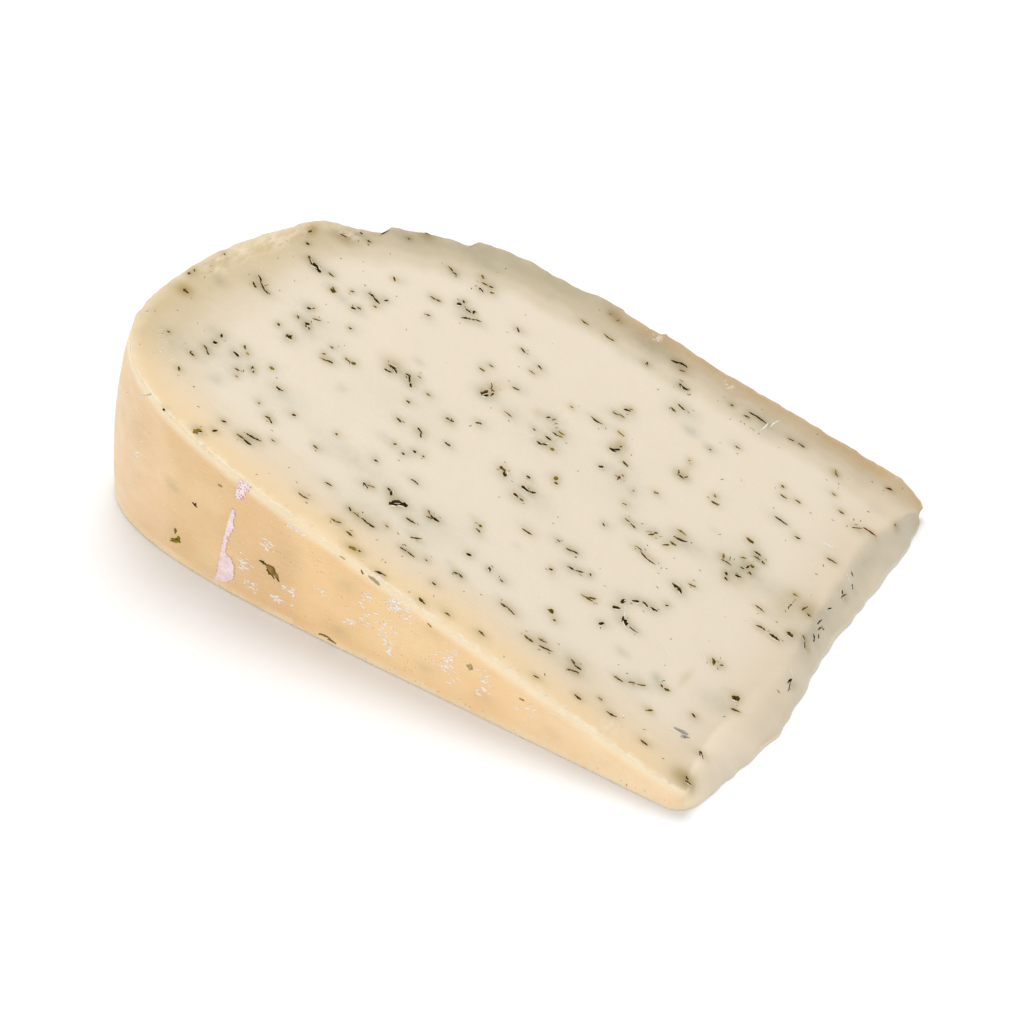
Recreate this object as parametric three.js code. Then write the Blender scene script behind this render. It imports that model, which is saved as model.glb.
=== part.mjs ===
// A wedge of pressed herb cheese, lying on one of its two cut faces.
//
// The cheese was a flat round wheel. A wedge is what stays between two cuts that meet at the
// wheel's axis: half of the wheel's cross-section, turned about the axis by the cutting angle.
// Laid on one cut face, the wheel's axis runs along Y, the rounded rim stands at -X and the
// thin end points to +X. The last of the point broke away, which leaves a sloping end face.
//
// Frame: millimetres, +Z up, origin under the middle of the wedge on the face that it rests on.

import * as THREE from "three";

// Driving dimensions of the wheel and of the cut.
const wheelRadius = 177.6;
const wheelHeight = 102; // between the two flat rinds, at the wheel's middle
const cutAngle = THREE.MathUtils.degToRad(15.7);
const tipRadius = 20; // how far from the wheel's axis the point broke off
const tipLean = 5.5; // how much further back the break is at its top
const tipLeanReach = 40; // the lean fades out at this distance from the wheel's axis
const rimLean = 2; // the rim sags a little, so its upper edge stands further in
const rimLeanStart = 120; // the sag starts at this distance from the wheel's axis
const edgeWear = 0.6; // softened edges between the rind and the cut faces

// How finely the solid is divided.
const stepsThroughCut = 8;
const pointsPerCurve = 8;
const edgeSegments = 2;

// Half of the wheel's cross-section: x is the distance from the axis, y runs across the wheel.
// The mould leaves one rim edge tighter (front) and the other one wide and round (back).
function halfSection() {
  const half = wheelHeight / 2;
  const rimPeak = -half / 2; // the rim bulges most a little in front of the middle
  const outline = new THREE.Shape();
  outline.moveTo(tipRadius + 3.5, -half + 1.6);
  outline.lineTo(tipRadius + 8, -half + 0.3);
  outline.lineTo(0.67 * wheelRadius, -half);
  outline.bezierCurveTo(
    0.91 * wheelRadius, -half,
    wheelRadius, -half + 4,
    wheelRadius, rimPeak,
  );
  outline.bezierCurveTo(
    wheelRadius, rimPeak + 13,
    0.97 * wheelRadius, 0.16 * half,
    0.915 * wheelRadius, 0.38 * half,
  );
  outline.bezierCurveTo(
    0.863 * wheelRadius, 0.59 * half,
    0.768 * wheelRadius, 0.82 * half,
    0.592 * wheelRadius, 0.88 * half,
  );
  outline.bezierCurveTo(
    0.478 * wheelRadius, 0.918 * half,
    0.337 * wheelRadius, 0.963 * half,
    tipRadius + 13, half - 0.4,
  );
  outline.bezierCurveTo(
    tipRadius + 4, half,
    tipRadius - 0.2, half - 2.6,
    tipRadius - 0.2, half - 8,
  );
  outline.splineThru(brokenTip(half));
  return outline;
}

// The break at the point, from the back to the front: nearly straight, with a low swelling.
function brokenTip(half) {
  return [
    new THREE.Vector2(tipRadius - 0.1, 0.7 * half),
    new THREE.Vector2(tipRadius, 0.44 * half),
    new THREE.Vector2(tipRadius + 0.9, 0.16 * half),
    new THREE.Vector2(tipRadius - 0.4, -0.06 * half),
    new THREE.Vector2(tipRadius - 2.9, -0.32 * half),
    new THREE.Vector2(tipRadius - 2.6, -0.54 * half),
    new THREE.Vector2(tipRadius, -0.82 * half),
    new THREE.Vector2(tipRadius + 3.5, -half + 1.6),
  ];
}

// The section is extruded as thick as the wedge is at its rim, and bent round the wheel's axis.
// The extrusion starts at the upper cut face and ends at the one that lies on the table.
function wedgeGeometry() {
  const rimThickness = wheelRadius * cutAngle;
  const geometry = new THREE.ExtrudeGeometry(halfSection(), {
    depth: rimThickness - 2 * edgeWear,
    steps: stepsThroughCut,
    curveSegments: pointsPerCurve,
    bevelEnabled: true,
    bevelThickness: edgeWear,
    bevelSize: edgeWear,
    bevelOffset: -edgeWear,
    bevelSegments: edgeSegments,
  });
  const position = geometry.getAttribute("position");
  for (let i = 0; i < position.count; i++) {
    const share = 1 - (position.getZ(i) + edgeWear) / rimThickness;
    const nearTip = 1 - THREE.MathUtils.smoothstep(position.getX(i), tipRadius, tipLeanReach);
    const nearRim = THREE.MathUtils.smoothstep(position.getX(i), rimLeanStart, wheelRadius);
    const radius = position.getX(i) + share * (tipLean * nearTip - rimLean * nearRim);
    const turn = cutAngle * share;
    position.setXYZ(i, -radius * Math.cos(turn), position.getY(i), radius * Math.sin(turn));
  }
  geometry.computeVertexNormals();
  return geometry;
}

// The row's origin is under the middle of the wedge, not on the wheel's axis.
function standOnOrigin(geometry) {
  geometry.computeBoundingBox();
  const box = geometry.boundingBox;
  geometry.translate(
    -(box.min.x + box.max.x) / 2,
    -(box.min.y + box.max.y) / 2,
    -box.min.z,
  );
  return geometry;
}

const herbCheese = new THREE.MeshStandardMaterial({
  color: new THREE.Color(0.91, 0.85, 0.74),
  roughness: 0.5,
  metalness: 0,
});

const wedge = new THREE.Mesh(standOnOrigin(wedgeGeometry()), herbCheese);
wedge.name = "cheese_wedge";

const part = new THREE.Group();
part.add(wedge);

export default part;
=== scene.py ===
# %% [markdown]
# # A wedge of herb cheese
# The wedge was cut from a flat round wheel and lies on one of its two cut faces. The packed
# model fixes its place and size. Everything below gives it the look of pressed, waxy paste with
# green herbs in it, and of a rind that a cloth and a coat of cheese wax have left their marks on.

# %% The fixed frame
import math

import bpy
import numpy as np
from mathutils import Matrix, Vector


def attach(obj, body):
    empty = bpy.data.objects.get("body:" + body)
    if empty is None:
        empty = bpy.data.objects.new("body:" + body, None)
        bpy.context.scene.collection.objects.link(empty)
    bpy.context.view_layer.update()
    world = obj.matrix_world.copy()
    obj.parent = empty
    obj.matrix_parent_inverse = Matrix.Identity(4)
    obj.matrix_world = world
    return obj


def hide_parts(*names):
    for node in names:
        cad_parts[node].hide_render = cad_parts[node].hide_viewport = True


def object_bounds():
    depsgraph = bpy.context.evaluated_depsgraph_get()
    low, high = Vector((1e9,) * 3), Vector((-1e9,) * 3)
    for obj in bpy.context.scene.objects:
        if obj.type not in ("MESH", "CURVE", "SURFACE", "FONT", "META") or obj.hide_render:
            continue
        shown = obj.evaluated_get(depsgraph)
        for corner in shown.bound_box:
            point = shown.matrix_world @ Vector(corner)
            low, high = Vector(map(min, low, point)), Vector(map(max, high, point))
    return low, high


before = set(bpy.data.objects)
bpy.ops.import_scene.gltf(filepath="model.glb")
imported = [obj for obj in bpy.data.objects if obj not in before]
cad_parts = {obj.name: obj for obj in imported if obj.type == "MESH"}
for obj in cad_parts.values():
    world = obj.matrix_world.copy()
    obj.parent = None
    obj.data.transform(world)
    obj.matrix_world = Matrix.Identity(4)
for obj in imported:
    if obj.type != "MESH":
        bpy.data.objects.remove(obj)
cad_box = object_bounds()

MM = 0.001
print("model box in mm:", [[round(c / MM, 1) for c in corner] for corner in cad_box])

# %% [markdown]
# ## The camera
# A wedge this thin shows best from above, over its long rind side. A long lens from three
# quarters of a metre keeps the far end from shrinking beside the near one.

# %% Camera over the long rind side
AROUND = math.radians(33.2)
ABOVE = math.radians(44.46)
REACH = 753.9 * MM
AIM = Vector((-0.3, 2.95, 0.0)) * MM

backward = Vector((math.sin(AROUND) * math.cos(ABOVE), -math.cos(AROUND) * math.cos(ABOVE), math.sin(ABOVE)))
rightward = Vector((math.cos(AROUND), math.sin(AROUND), 0.0))
upward = backward.cross(rightward)
camera = bpy.data.objects.new("studio_camera", bpy.data.cameras.new("studio_camera"))
camera.data.lens = 123.2
camera.data.sensor_width = 36.0
camera.data.clip_end = 20.0
camera.matrix_world = Matrix.Translation(AIM + backward * REACH) @ Matrix(
    (rightward, upward, backward)
).transposed().to_4x4()
bpy.context.collection.objects.link(camera)
bpy.context.scene.camera = camera
print("camera stands", round(camera.location.z, 3), "m above the table")

# %% [markdown]
# ## Small helpers
# The wheel's own measures are a distance from its axis (rho), a place across it (y) and an angle
# about the axis. Curves are whole arrays of points, and a noise field gives the unevenness that
# anything soft and hand-cut has. The field is a seeded cube of random numbers, blended smoothly
# between its cells, so each run gives the same cheese.

# %% Curves and noise
def bezier(a, b, c, d, count=120):
    """Points of a cubic curve: each end and handle weighted by its share, (1-t)^3 to t^3."""
    t = np.linspace(0.0, 1.0, count)[:, None]
    a, b, c, d = (np.array(p, dtype=float) for p in (a, b, c, d))
    return (1 - t) ** 3 * a + 3 * (1 - t) ** 2 * t * b + 3 * (1 - t) * t**2 * c + t**3 * d


def along(line, t):
    """The point at share t of a line's length: the running length is looked up backwards."""
    steps = np.linalg.norm(np.diff(line, axis=0), axis=1)
    run = np.concatenate([[0.0], np.cumsum(steps)]) / steps.sum()
    return np.stack([np.interp(t, run, line[:, k]) for k in range(line.shape[1])], axis=-1)


def ease(low, high, x):
    """0 below low, 1 above high, and 3s^2 - 2s^3 of the share s between them."""
    s = np.clip((x - low) / (high - low), 0.0, 1.0)
    return s * s * (3.0 - 2.0 * s)


def crowd(count, pull):
    """Shares from 0 to 1 that stand closer at both ends: t - pull sin(2 pi t) / (2 pi)."""
    t = np.linspace(0.0, 1.0, count + 1)
    return t - pull * np.sin(2 * np.pi * t) / (2 * np.pi)


def unevenness(points, size, seed):
    """Noise from -1 to 1 at points in mm: eight random corners blended with eased shares."""
    table = np.random.default_rng(seed).uniform(-1.0, 1.0, (32, 32, 32))
    q = np.asarray(points, dtype=float) / size + 64.0
    cell = np.floor(q).astype(int)
    s = q - cell
    s = s * s * (3.0 - 2.0 * s)
    total = np.zeros(len(q))
    for dx in (0, 1):
        for dy in (0, 1):
            for dz in (0, 1):
                weight = (
                    np.where(dx, s[:, 0], 1 - s[:, 0])
                    * np.where(dy, s[:, 1], 1 - s[:, 1])
                    * np.where(dz, s[:, 2], 1 - s[:, 2])
                )
                corner = (cell + (dx, dy, dz)) % 32
                total += weight * table[corner[:, 0], corner[:, 1], corner[:, 2]]
    return total


print("a curve's middle:", along(bezier((0, 0), (0, 1), (1, 1), (1, 0)), 0.5).round(2))

# %% [markdown]
# ## The outline of the half wheel
# Seen along a cut, the wheel's half section has a flat front rind, a tight front edge, a bulging
# rim and a wide round back edge. A lathe profile would do, but the two cuts, the torn point and
# the knocked edges are not the same all the way round, so the outline is kept as four sides, and
# a patch is spread between them later.

# %% Four sides of the section
wheel_radius = 177.6
axis_x = cad_box[0][0] / MM + wheel_radius
cut_angle = math.radians(15.72)
FRONT_Y = -50.5  # the flat front rind
TURN_IN = 74  # the point of the front edge's curve where the front ends and the rim begins

front_edge = bezier((105.0, FRONT_Y), (152.0, FRONT_Y), (175.9, -48.0), (175.9, -24.5))
front_side = np.vstack([[(21.8, -50.3), (28.0, FRONT_Y)], front_edge[:TURN_IN + 1]])
bulge = bezier((175.9, -24.5), (175.9, -8.0), (170.0, 8.0), (160.5, 19.3))
rim_side = np.vstack([front_edge[TURN_IN:], bulge[1:]])
back_side = np.vstack([
    bezier((160.5, 19.3), (150.0, 28.4), (136.0, 40.9), (104.5, 44.4)),
    bezier((104.5, 44.4), (80.0, 46.9), (55.0, 48.6), (33.0, 50.1))[1:],
    bezier((33.0, 50.1), (29.0, 50.4), (25.5, 50.5), (22.6, 50.0))[1:],
])[::-1]
rind_line = np.vstack([front_side, rim_side[1:], back_side[::-1][1:]])

# the torn end: place across, distance from the wheel's axis
torn_foot = np.array([(-50.3, 21.8), (-46.0, 21.1), (-22.0, 17.0), (3.0, 20.3), (38.0, 20.6), (50.0, 22.6)])
torn_brow = np.array([
    (-50.3, 21.8), (-45.0, 24.6), (-35.0, 26.0), (-11.0, 24.0), (8.0, 26.2), (30.0, 28.2), (50.0, 22.6),
])
rind_length = np.linalg.norm(np.diff(rind_line, axis=0), axis=1).sum()
print("rind is", round(float(rind_length)), "mm long round the section")

# %% [markdown]
# ## The wedge as one closed surface
# The wedge is a block with six faces: two cuts, front rind, rim, back rind and the torn point.
# Its skin is the skin of a lattice. u runs from point to rim, v from front to back and w from the
# lower to the upper cut. The section point is a patch spread between the four sides: the two
# blends across it, less the blend of its four corners. Turning that point about the wheel's axis
# by w times the cutting angle gives its place. The two upright corners of the torn point are
# worn, so points near them move inwards. A box with modifiers could be bent to this shape,
# but then no part of the skin would know how far it is from the rind, which the colours need.

# %% Section patch, turned about the wheel's axis
CELLS_U, CELLS_V, CELLS_W = 232, 138, 36


def knocked_edge(rho, w):
    """How far the upper back edge stands out, in mm: steps where lumps of rind broke off."""
    bump = 1.3 * np.exp(-(((rho - 164.0) / 3.0) ** 2))
    chip = -2.2 * ease(163.0, 152.0, rho) * ease(150.3, 150.9, rho)
    notch = 1.6 * ease(134.9, 134.3, rho) * ease(112.0, 131.0, rho)
    nick = -0.5 * np.exp(-(((rho - 136.2) / 2.0) ** 2))
    lump = 0.8 * ease(98.9, 100.2, rho) * ease(113.0, 102.0, rho)
    small = 0.8 * ease(90.2, 89.6, rho) * ease(80.0, 88.0, rho)
    return (bump + chip + (notch + nick) + lump + small) * ease(0.60, 0.95, w)


def torn_point(v, w):
    """The torn end: its foot and its brow, joined by a quarter of an ellipse mixed with a slope."""
    y = -50.3 + 100.3 * v
    bite = 0.35 * np.sin(np.pi * v) * np.sin(0.9 * y + 1.4 * np.sin(0.35 * y))
    foot = np.interp(y, torn_foot[:, 0], torn_foot[:, 1]) + bite
    brow = np.interp(y, torn_brow[:, 0], torn_brow[:, 1]) - 0.6 * bite
    roll = 0.8 * (1 - np.sqrt(np.clip(1 - w**2, 0, 1))) + 0.2 * w**1.3
    straight = 0.6 * ease(-24.0, 6.0, y)
    roll = (1 - straight) * roll + straight * w
    return np.stack([foot + (brow - foot) * roll, y], axis=-1)


def section_point(u, v, w):
    """Blend across v, plus blend across u, less the blend of the four corners."""
    front, back = along(front_side, u), along(back_side, u)
    torn, rim = torn_point(v, w), along(rim_side, v)
    U, V = u[:, None], v[:, None]
    corners = (
        (1 - U) * (1 - V) * front_side[0] + U * (1 - V) * rim_side[0]
        + (1 - U) * V * back_side[0] + U * V * rim_side[-1]
    )
    return (1 - V) * front + V * back + (1 - U) * torn + U * rim - corners


def wheel_to_row(rho, y, w):
    """From the wheel's measures to the row's: x falls by rho cos, z rises by rho sin."""
    turn = cut_angle * w
    out = rho + 1.9 * (1 - w) * ease(120.0, wheel_radius, rho)
    return np.stack([axis_x - out * np.cos(turn), y + 0.0 * w, out * np.sin(turn)], axis=-1)


i, j, k = np.meshgrid(
    np.arange(CELLS_U + 1), np.arange(CELLS_V + 1), np.arange(CELLS_W + 1), indexing="ij"
)
skin = (i == 0) | (i == CELLS_U) | (j == 0) | (j == CELLS_V) | (k == 0) | (k == CELLS_W)
number = np.full(skin.shape, -1)
number[skin] = np.arange(skin.sum())
i, j, k = i[skin], j[skin], k[skin]
u, v, w = crowd(CELLS_U, 0.45)[i], crowd(CELLS_V, 0.5)[j], crowd(CELLS_W, 0.5)[k]
section = section_point(u, v, w)
WORN_CORNERS = [  # corner of the section, which way it wore, how deep and how far round it, in mm
    (front_side[0], (0.71, 0.71), 1.7, 5.0),
    (back_side[0], (0.71, -0.71), 1.2, 4.5),
]
for corner, inwards, depth, reach in WORN_CORNERS:
    gap = np.linalg.norm(section - corner, axis=1)
    section += depth * np.clip(1 - gap / reach, 0.0, 1.0)[:, None] ** 2 * np.array(inwards)
place = wheel_to_row(section[:, 0], section[:, 1], w)
print("skin points:", len(place))

# %% Faces of the lattice, all turned outwards
def side_quads(ids):
    """Four neighbours of each cell of a sheet of point numbers, in turning order."""
    return np.stack([ids[:-1, :-1], ids[:-1, 1:], ids[1:, 1:], ids[1:, :-1]], axis=-1).reshape(-1, 4)


sides = {
    "upper cut": side_quads(number[:, :, -1]),
    "lower cut": side_quads(number[:, :, 0])[:, ::-1],
    "front rind": side_quads(number[:, 0, :]),
    "back rind": side_quads(number[:, -1, :])[:, ::-1],
    "torn point": side_quads(number[0, :, :])[:, ::-1],
    "rim": side_quads(number[-1, :, :]),
}
quads = np.vstack(list(sides.values()))
is_rind_face = np.concatenate([
    np.full(len(q), name in ("front rind", "back rind", "rim")) for name, q in sides.items()
])


def enclosed_volume(points, quads):
    """Sum over triangles of a . (b x c) / 6: positive when all faces point outwards."""
    a, b, c, d = (points[quads[:, n]] for n in range(4))
    halves = np.einsum("ij,ij->i", a, np.cross(b, c)) + np.einsum("ij,ij->i", a, np.cross(c, d))
    return float(halves.sum() / 6)


for name, q in sides.items():
    print(name, "adds", round(enclosed_volume(place, q) / 1000, 1), "cm3")
print("volume", round(enclosed_volume(place, quads) / 1000, 1), "cm3, faces", len(quads))

# %% [markdown]
# ## Softened edges and an uneven skin
# Fresh from the knife the edges are soft and slightly crumbled. A bevel would be too regular, so
# each point near an edge moves a few times halfway to the middle of its neighbours. Then the skin
# is pushed in and out along its normals: long low waves on the cuts, shorter ones on the rind,
# small crumbs along the edges and lumps on the torn point. The resting face stays flat, and only
# its border curls up by a tenth of a millimetre, as on any cut that dried for a day. The back
# corner of the point is blunt, and lumps of rind broke off the upper back edge.

# %% Soft edges, waves, crumbs
edge_pairs = np.unique(np.sort(np.vstack([quads[:, [n, (n + 1) % 4]] for n in range(4)]), axis=1), axis=0)
neighbours = np.bincount(edge_pairs.ravel(), minlength=len(place))[:, None]


def relaxed(points, share):
    """Each point moves by its share towards the mean of its neighbours."""
    total = np.zeros_like(points)
    np.add.at(total, edge_pairs[:, 0], points[edge_pairs[:, 1]])
    np.add.at(total, edge_pairs[:, 1], points[edge_pairs[:, 0]])
    return points + share * (total / neighbours - points)


def normals_of(points):
    """Half the cross product of each face's diagonals, summed at its corners and made unit long."""
    a, b, c, d = (points[quads[:, n]] for n in range(4))
    face = np.cross(c - a, d - b)
    total = np.zeros_like(points)
    for n in range(4):
        np.add.at(total, quads[:, n], face)
    return total / np.linalg.norm(total, axis=1)[:, None]


def distance_to_line(points, line, block=4000):
    """Shortest distance in the section to a densely sampled line, block by block."""
    dense = along(line, np.linspace(0, 1, 900))
    return np.concatenate([
        np.sqrt(((points[n:n + block, None] - dense[None]) ** 2).sum(-1).min(1))
        for n in range(0, len(points), block)
    ])


rho, y = section[:, 0], section[:, 1]
on_rind = (j == 0) | (j == CELLS_V) | (i == CELLS_U)
on_torn = i == 0
upper = k == CELLS_W
resting = k == 0
FAR_OFF = 40.0
to_rind = np.where(on_rind, 0.0, distance_to_line(section, rind_line))
to_upper_edge = np.where(on_rind, (1 - w) * cut_angle * rho, np.where(upper, to_rind, FAR_OFF))
to_lower_edge = np.where(on_rind, w * cut_angle * rho, np.where(resting, to_rind, FAR_OFF))
to_edge = np.minimum(to_upper_edge, to_lower_edge)
to_point = np.clip(rho - np.interp(y, torn_brow[:, 0], torn_brow[:, 1]), 0.0, None)

softness = 0.5 * np.clip(1.6 - to_edge / 2.0, 0.12, 1.0)[:, None]
softness[on_torn | (to_point < 3.0)] = 0.45
softness[on_rind & (to_lower_edge < 1.5)] = 0.15
for _ in range(5):
    place = relaxed(place, softness)
place[resting, 2] = 0.0
place[:, 2] = np.clip(place[:, 2], 0.0, None)

broken = knocked_edge(rho, w) * np.where(y > 12.0, np.exp(-((to_rind / 2.6) ** 2)), 0.0)
place[:, 1] += np.where(resting | on_torn, 0.0, broken)
BLUNTED = 3.4  # mm that the point's back corner has lost of its height
CORNER_HEIGHT = 6.4
BORDER_LIFT = 0.12
blunt = BLUNTED * ease(31.0, 21.5, rho) * ease(42.0, 50.0, y)
place[:, 2] *= 1 - blunt / CORNER_HEIGHT
from_foot_line = np.where(resting, to_rind / 7.0, place[:, 2] / 5.0)
lifted = np.where(resting | on_rind, np.clip(1 - from_foot_line, 0.0, 1.0) ** 1.6, 0.0)
lifted *= ease(14.0, 40.0, rho)
place[:, 2] += BORDER_LIFT * lifted

normal = normals_of(place)
waves = 0.32 * unevenness(place, 34.0, 1) + 0.10 * unevenness(place, 11.0, 2)
rind_waves = 0.16 * unevenness(place, 21.0, 3) + 0.06 * unevenness(place, 5.0, 4)
rind_waves += 0.03 * unevenness(place, 1.8, 5)
crumbs = 0.18 * unevenness(place, 2.6, 6) + 0.14 * unevenness(place, 1.1, 7)
lumps = 0.45 * unevenness(place * (1.0, 1.0, 0.6), 8.0, 8) + 0.14 * unevenness(place, 3.0, 9)
lumps += 0.16 * unevenness(place * (0.25, 1.0, 0.25), 2.4, 10)
near_edge = np.exp(-((to_upper_edge / 1.3) ** 2))
near_torn = np.where(on_torn, 1.0, np.exp(-((to_point / 2.6) ** 2)) * upper)
push = np.where(on_rind, rind_waves, waves) + crumbs * near_edge * 1.1 + lumps * near_torn
push *= ease(0.0, 0.6, np.where(resting, 0.0, place[:, 2]))
place += normal * push[:, None]
place[:, 2] = np.clip(place[:, 2], 0.0, None)
normal = normals_of(place)
CUT_NORMAL = np.array([math.sin(cut_angle), 0.0, math.cos(cut_angle)])
# How far the torn end turns away from the cut sets its painted shade: the paste is painted darker and greyer
# there.
turn_from_cut_shade = ease(0.02, 0.40, 1 - normal @ CUT_NORMAL) * (on_torn | ((to_point < 9.0) & upper))
turn_from_cut_shade *= 0.25 + 0.75 * ease(-24.0, 8.0, y)
print("skin pushed from", round(float(push.min()), 2), "to", round(float(push.max()), 2), "mm")

# %% [markdown]
# ## Herbs in the cut
# Dried leaf and stem were stirred into the curd, and pressing turned most of them along the cut.
# The knife shows them as slivers, a few as ragged dark chunks. They could be painted by a noise
# texture, but then they would be round dots with no edge to catch the light. So each is a small
# closed sliver set flush in the paste. The larger ones have places of their own. Crumbled bits
# are seeded close beside them, and a seeded sprinkling fills the rest, the lower cut and the rind.

# %% The larger herbs of the upper cut
# distance from the wheel's axis, place across, length, width (all mm), turn in degrees, kind.
# Kinds: k black-brown, b brown, o olive, y yellow-olive, r red-brown. The rind and the sprinkling
# have three more: g straw, d dull brown under wax, c the grey of a hard chip.
NEAR_POINT = [
    (57.8, -19.6, 1.6, 0.8, 75, "k"), (58.1, -22.0, 1.7, 0.8, 30, "k"), (55.0, -23.6, 2.3, 1.2, -35, "k"),
    (52.4, -24.1, 2.2, 0.3, -2, "k"), (58.2, -27.5, 1.3, 0.7, 60, "k"), (56.0, -17.8, 1.6, 0.6, 40, "k"),
    (54.1, -17.1, 1.6, 0.6, -10, "k"), (52.0, -16.9, 1.7, 0.6, 8, "k"), (40.6, -31.6, 0.8, 0.4, -30, "k"),
    (39.4, -31.7, 1.1, 0.6, 10, "o"), (35.8, -19.1, 1.7, 0.8, -50, "o"), (34.0, -18.7, 0.8, 0.4, 30, "k"),
    (27.6, -23.3, 1.8, 1.2, 25, "b"), (26.0, -26.0, 2.1, 0.5, 20, "o"), (31.8, -33.1, 1.2, 0.4, -15, "b"),
    (45.6, -35.3, 1.7, 0.3, 30, "b"), (43.9, -34.3, 1.9, 0.4, 32, "b"), (48.2, -36.4, 2.3, 0.35, 6, "b"),
    (57.4, -39.5, 1.6, 0.4, -28, "b"), (55.9, -39.9, 1.7, 0.4, 5, "k"), (56.2, -41.3, 2.6, 0.5, 22, "b"),
    (39.3, -38.4, 1.7, 0.4, 45, "o"), (25.6, -40.0, 2.0, 0.6, -40, "k"), (24.1, -47.1, 1.6, 0.6, 5, "b"),
    (24.9, -46.4, 1.0, 0.4, -25, "b"), (36.0, -45.5, 1.9, 0.4, -4, "b"), (44.6, -44.4, 2.3, 0.5, 9, "b"),
    (52.0, -45.8, 1.8, 0.5, 0, "b"), (48.3, -43.0, 1.1, 0.3, -3, "o"), (61.0, -47.6, 1.3, 0.3, 12, "b"),
    (57.0, 15.2, 1.9, 0.5, 6, "o"), (58.0, 16.9, 0.9, 0.4, -40, "y"), (46.2, 12.3, 2.0, 0.7, -2, "o"),
    (43.2, 10.6, 1.7, 0.4, 0, "k"), (42.7, 9.5, 1.5, 0.4, 5, "b"), (41.1, 9.5, 0.9, 0.4, -20, "k"),
    (44.9, 7.5, 1.4, 0.4, 30, "y"), (42.4, 7.0, 1.1, 0.6, 5, "o"), (43.0, 6.2, 1.0, 0.5, 85, "k"),
    (43.7, 5.2, 0.9, 0.4, 10, "k"), (41.7, 5.2, 0.9, 0.4, -25, "k"), (48.3, 4.8, 1.5, 0.5, -60, "y"),
    (47.0, 3.9, 2.6, 0.3, 5, "b"), (43.3, 2.8, 1.4, 0.5, 20, "k"), (45.5, 1.5, 0.9, 0.5, -30, "k"),
    (44.8, 0.4, 1.0, 0.5, -10, "k"), (58.2, 3.7, 2.4, 0.4, 0, "y"), (57.5, 2.1, 3.2, 0.5, 17, "b"),
    (58.0, 0.1, 1.6, 0.5, 0, "o"), (59.0, -1.4, 1.6, 0.5, 45, "o"), (60.0, -6.8, 4.3, 0.35, -8, "b"),
    (49.3, -6.1, 1.7, 0.4, 15, "o"), (51.8, -8.6, 1.8, 0.8, 0, "k"), (50.5, -9.1, 1.5, 0.8, -28, "k"),
    (50.5, -14.1, 0.7, 0.5, 20, "k"), (35.5, -1.0, 2.4, 0.35, -3, "o"), (32.8, -5.0, 2.3, 0.5, 8, "o"),
    (29.4, -4.9, 2.6, 0.7, 0, "k"), (27.3, -1.9, 1.7, 0.9, 0, "b"), (31.6, 7.2, 1.3, 0.5, 5, "y"),
    (28.3, 5.9, 1.9, 0.4, 75, "o"), (26.8, 5.2, 1.0, 0.5, 0, "k"), (24.4, -0.3, 1.6, 0.3, -10, "k"),
    (22.8, -1.2, 1.7, 0.35, -42, "k"), (21.6, 2.4, 2.0, 0.5, -32, "k"), (20.5, 4.3, 1.2, 0.5, -45, "k"),
    (20.3, -10.6, 1.0, 0.5, 10, "k"), (23.5, 16.0, 1.2, 0.4, -20, "b"), (62.3, 41.5, 4.6, 0.45, 1, "k"),
    (64.2, 40.0, 1.5, 0.4, 15, "b"), (53.7, 41.7, 1.6, 0.3, 15, "r"), (51.2, 42.1, 1.7, 0.4, 0, "k"),
    (41.9, 41.4, 1.2, 0.35, -50, "y"), (41.3, 40.7, 1.2, 0.35, -20, "o"), (30.7, 45.7, 1.7, 0.5, 25, "r"),
    (39.0, 35.8, 1.0, 0.3, -5, "b"), (35.4, 32.9, 1.5, 0.4, 0, "o"), (30.6, 31.7, 2.4, 0.35, 38, "r"),
    (28.0, 32.8, 3.4, 0.45, 0, "r"), (48.4, 29.6, 1.0, 0.4, -10, "o"), (46.9, 27.4, 1.7, 0.35, 0, "o"),
    (43.9, 28.4, 1.5, 0.35, 0, "o"), (43.9, 21.5, 3.3, 0.45, 0, "k"), (39.0, 20.3, 1.4, 0.4, 10, "o"),
    (30.3, 20.4, 2.5, 0.4, 8, "o"), (22.2, 19.6, 1.5, 0.6, -45, "k"), (24.6, 38.6, 0.8, 0.4, 10, "y"),
]
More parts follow.
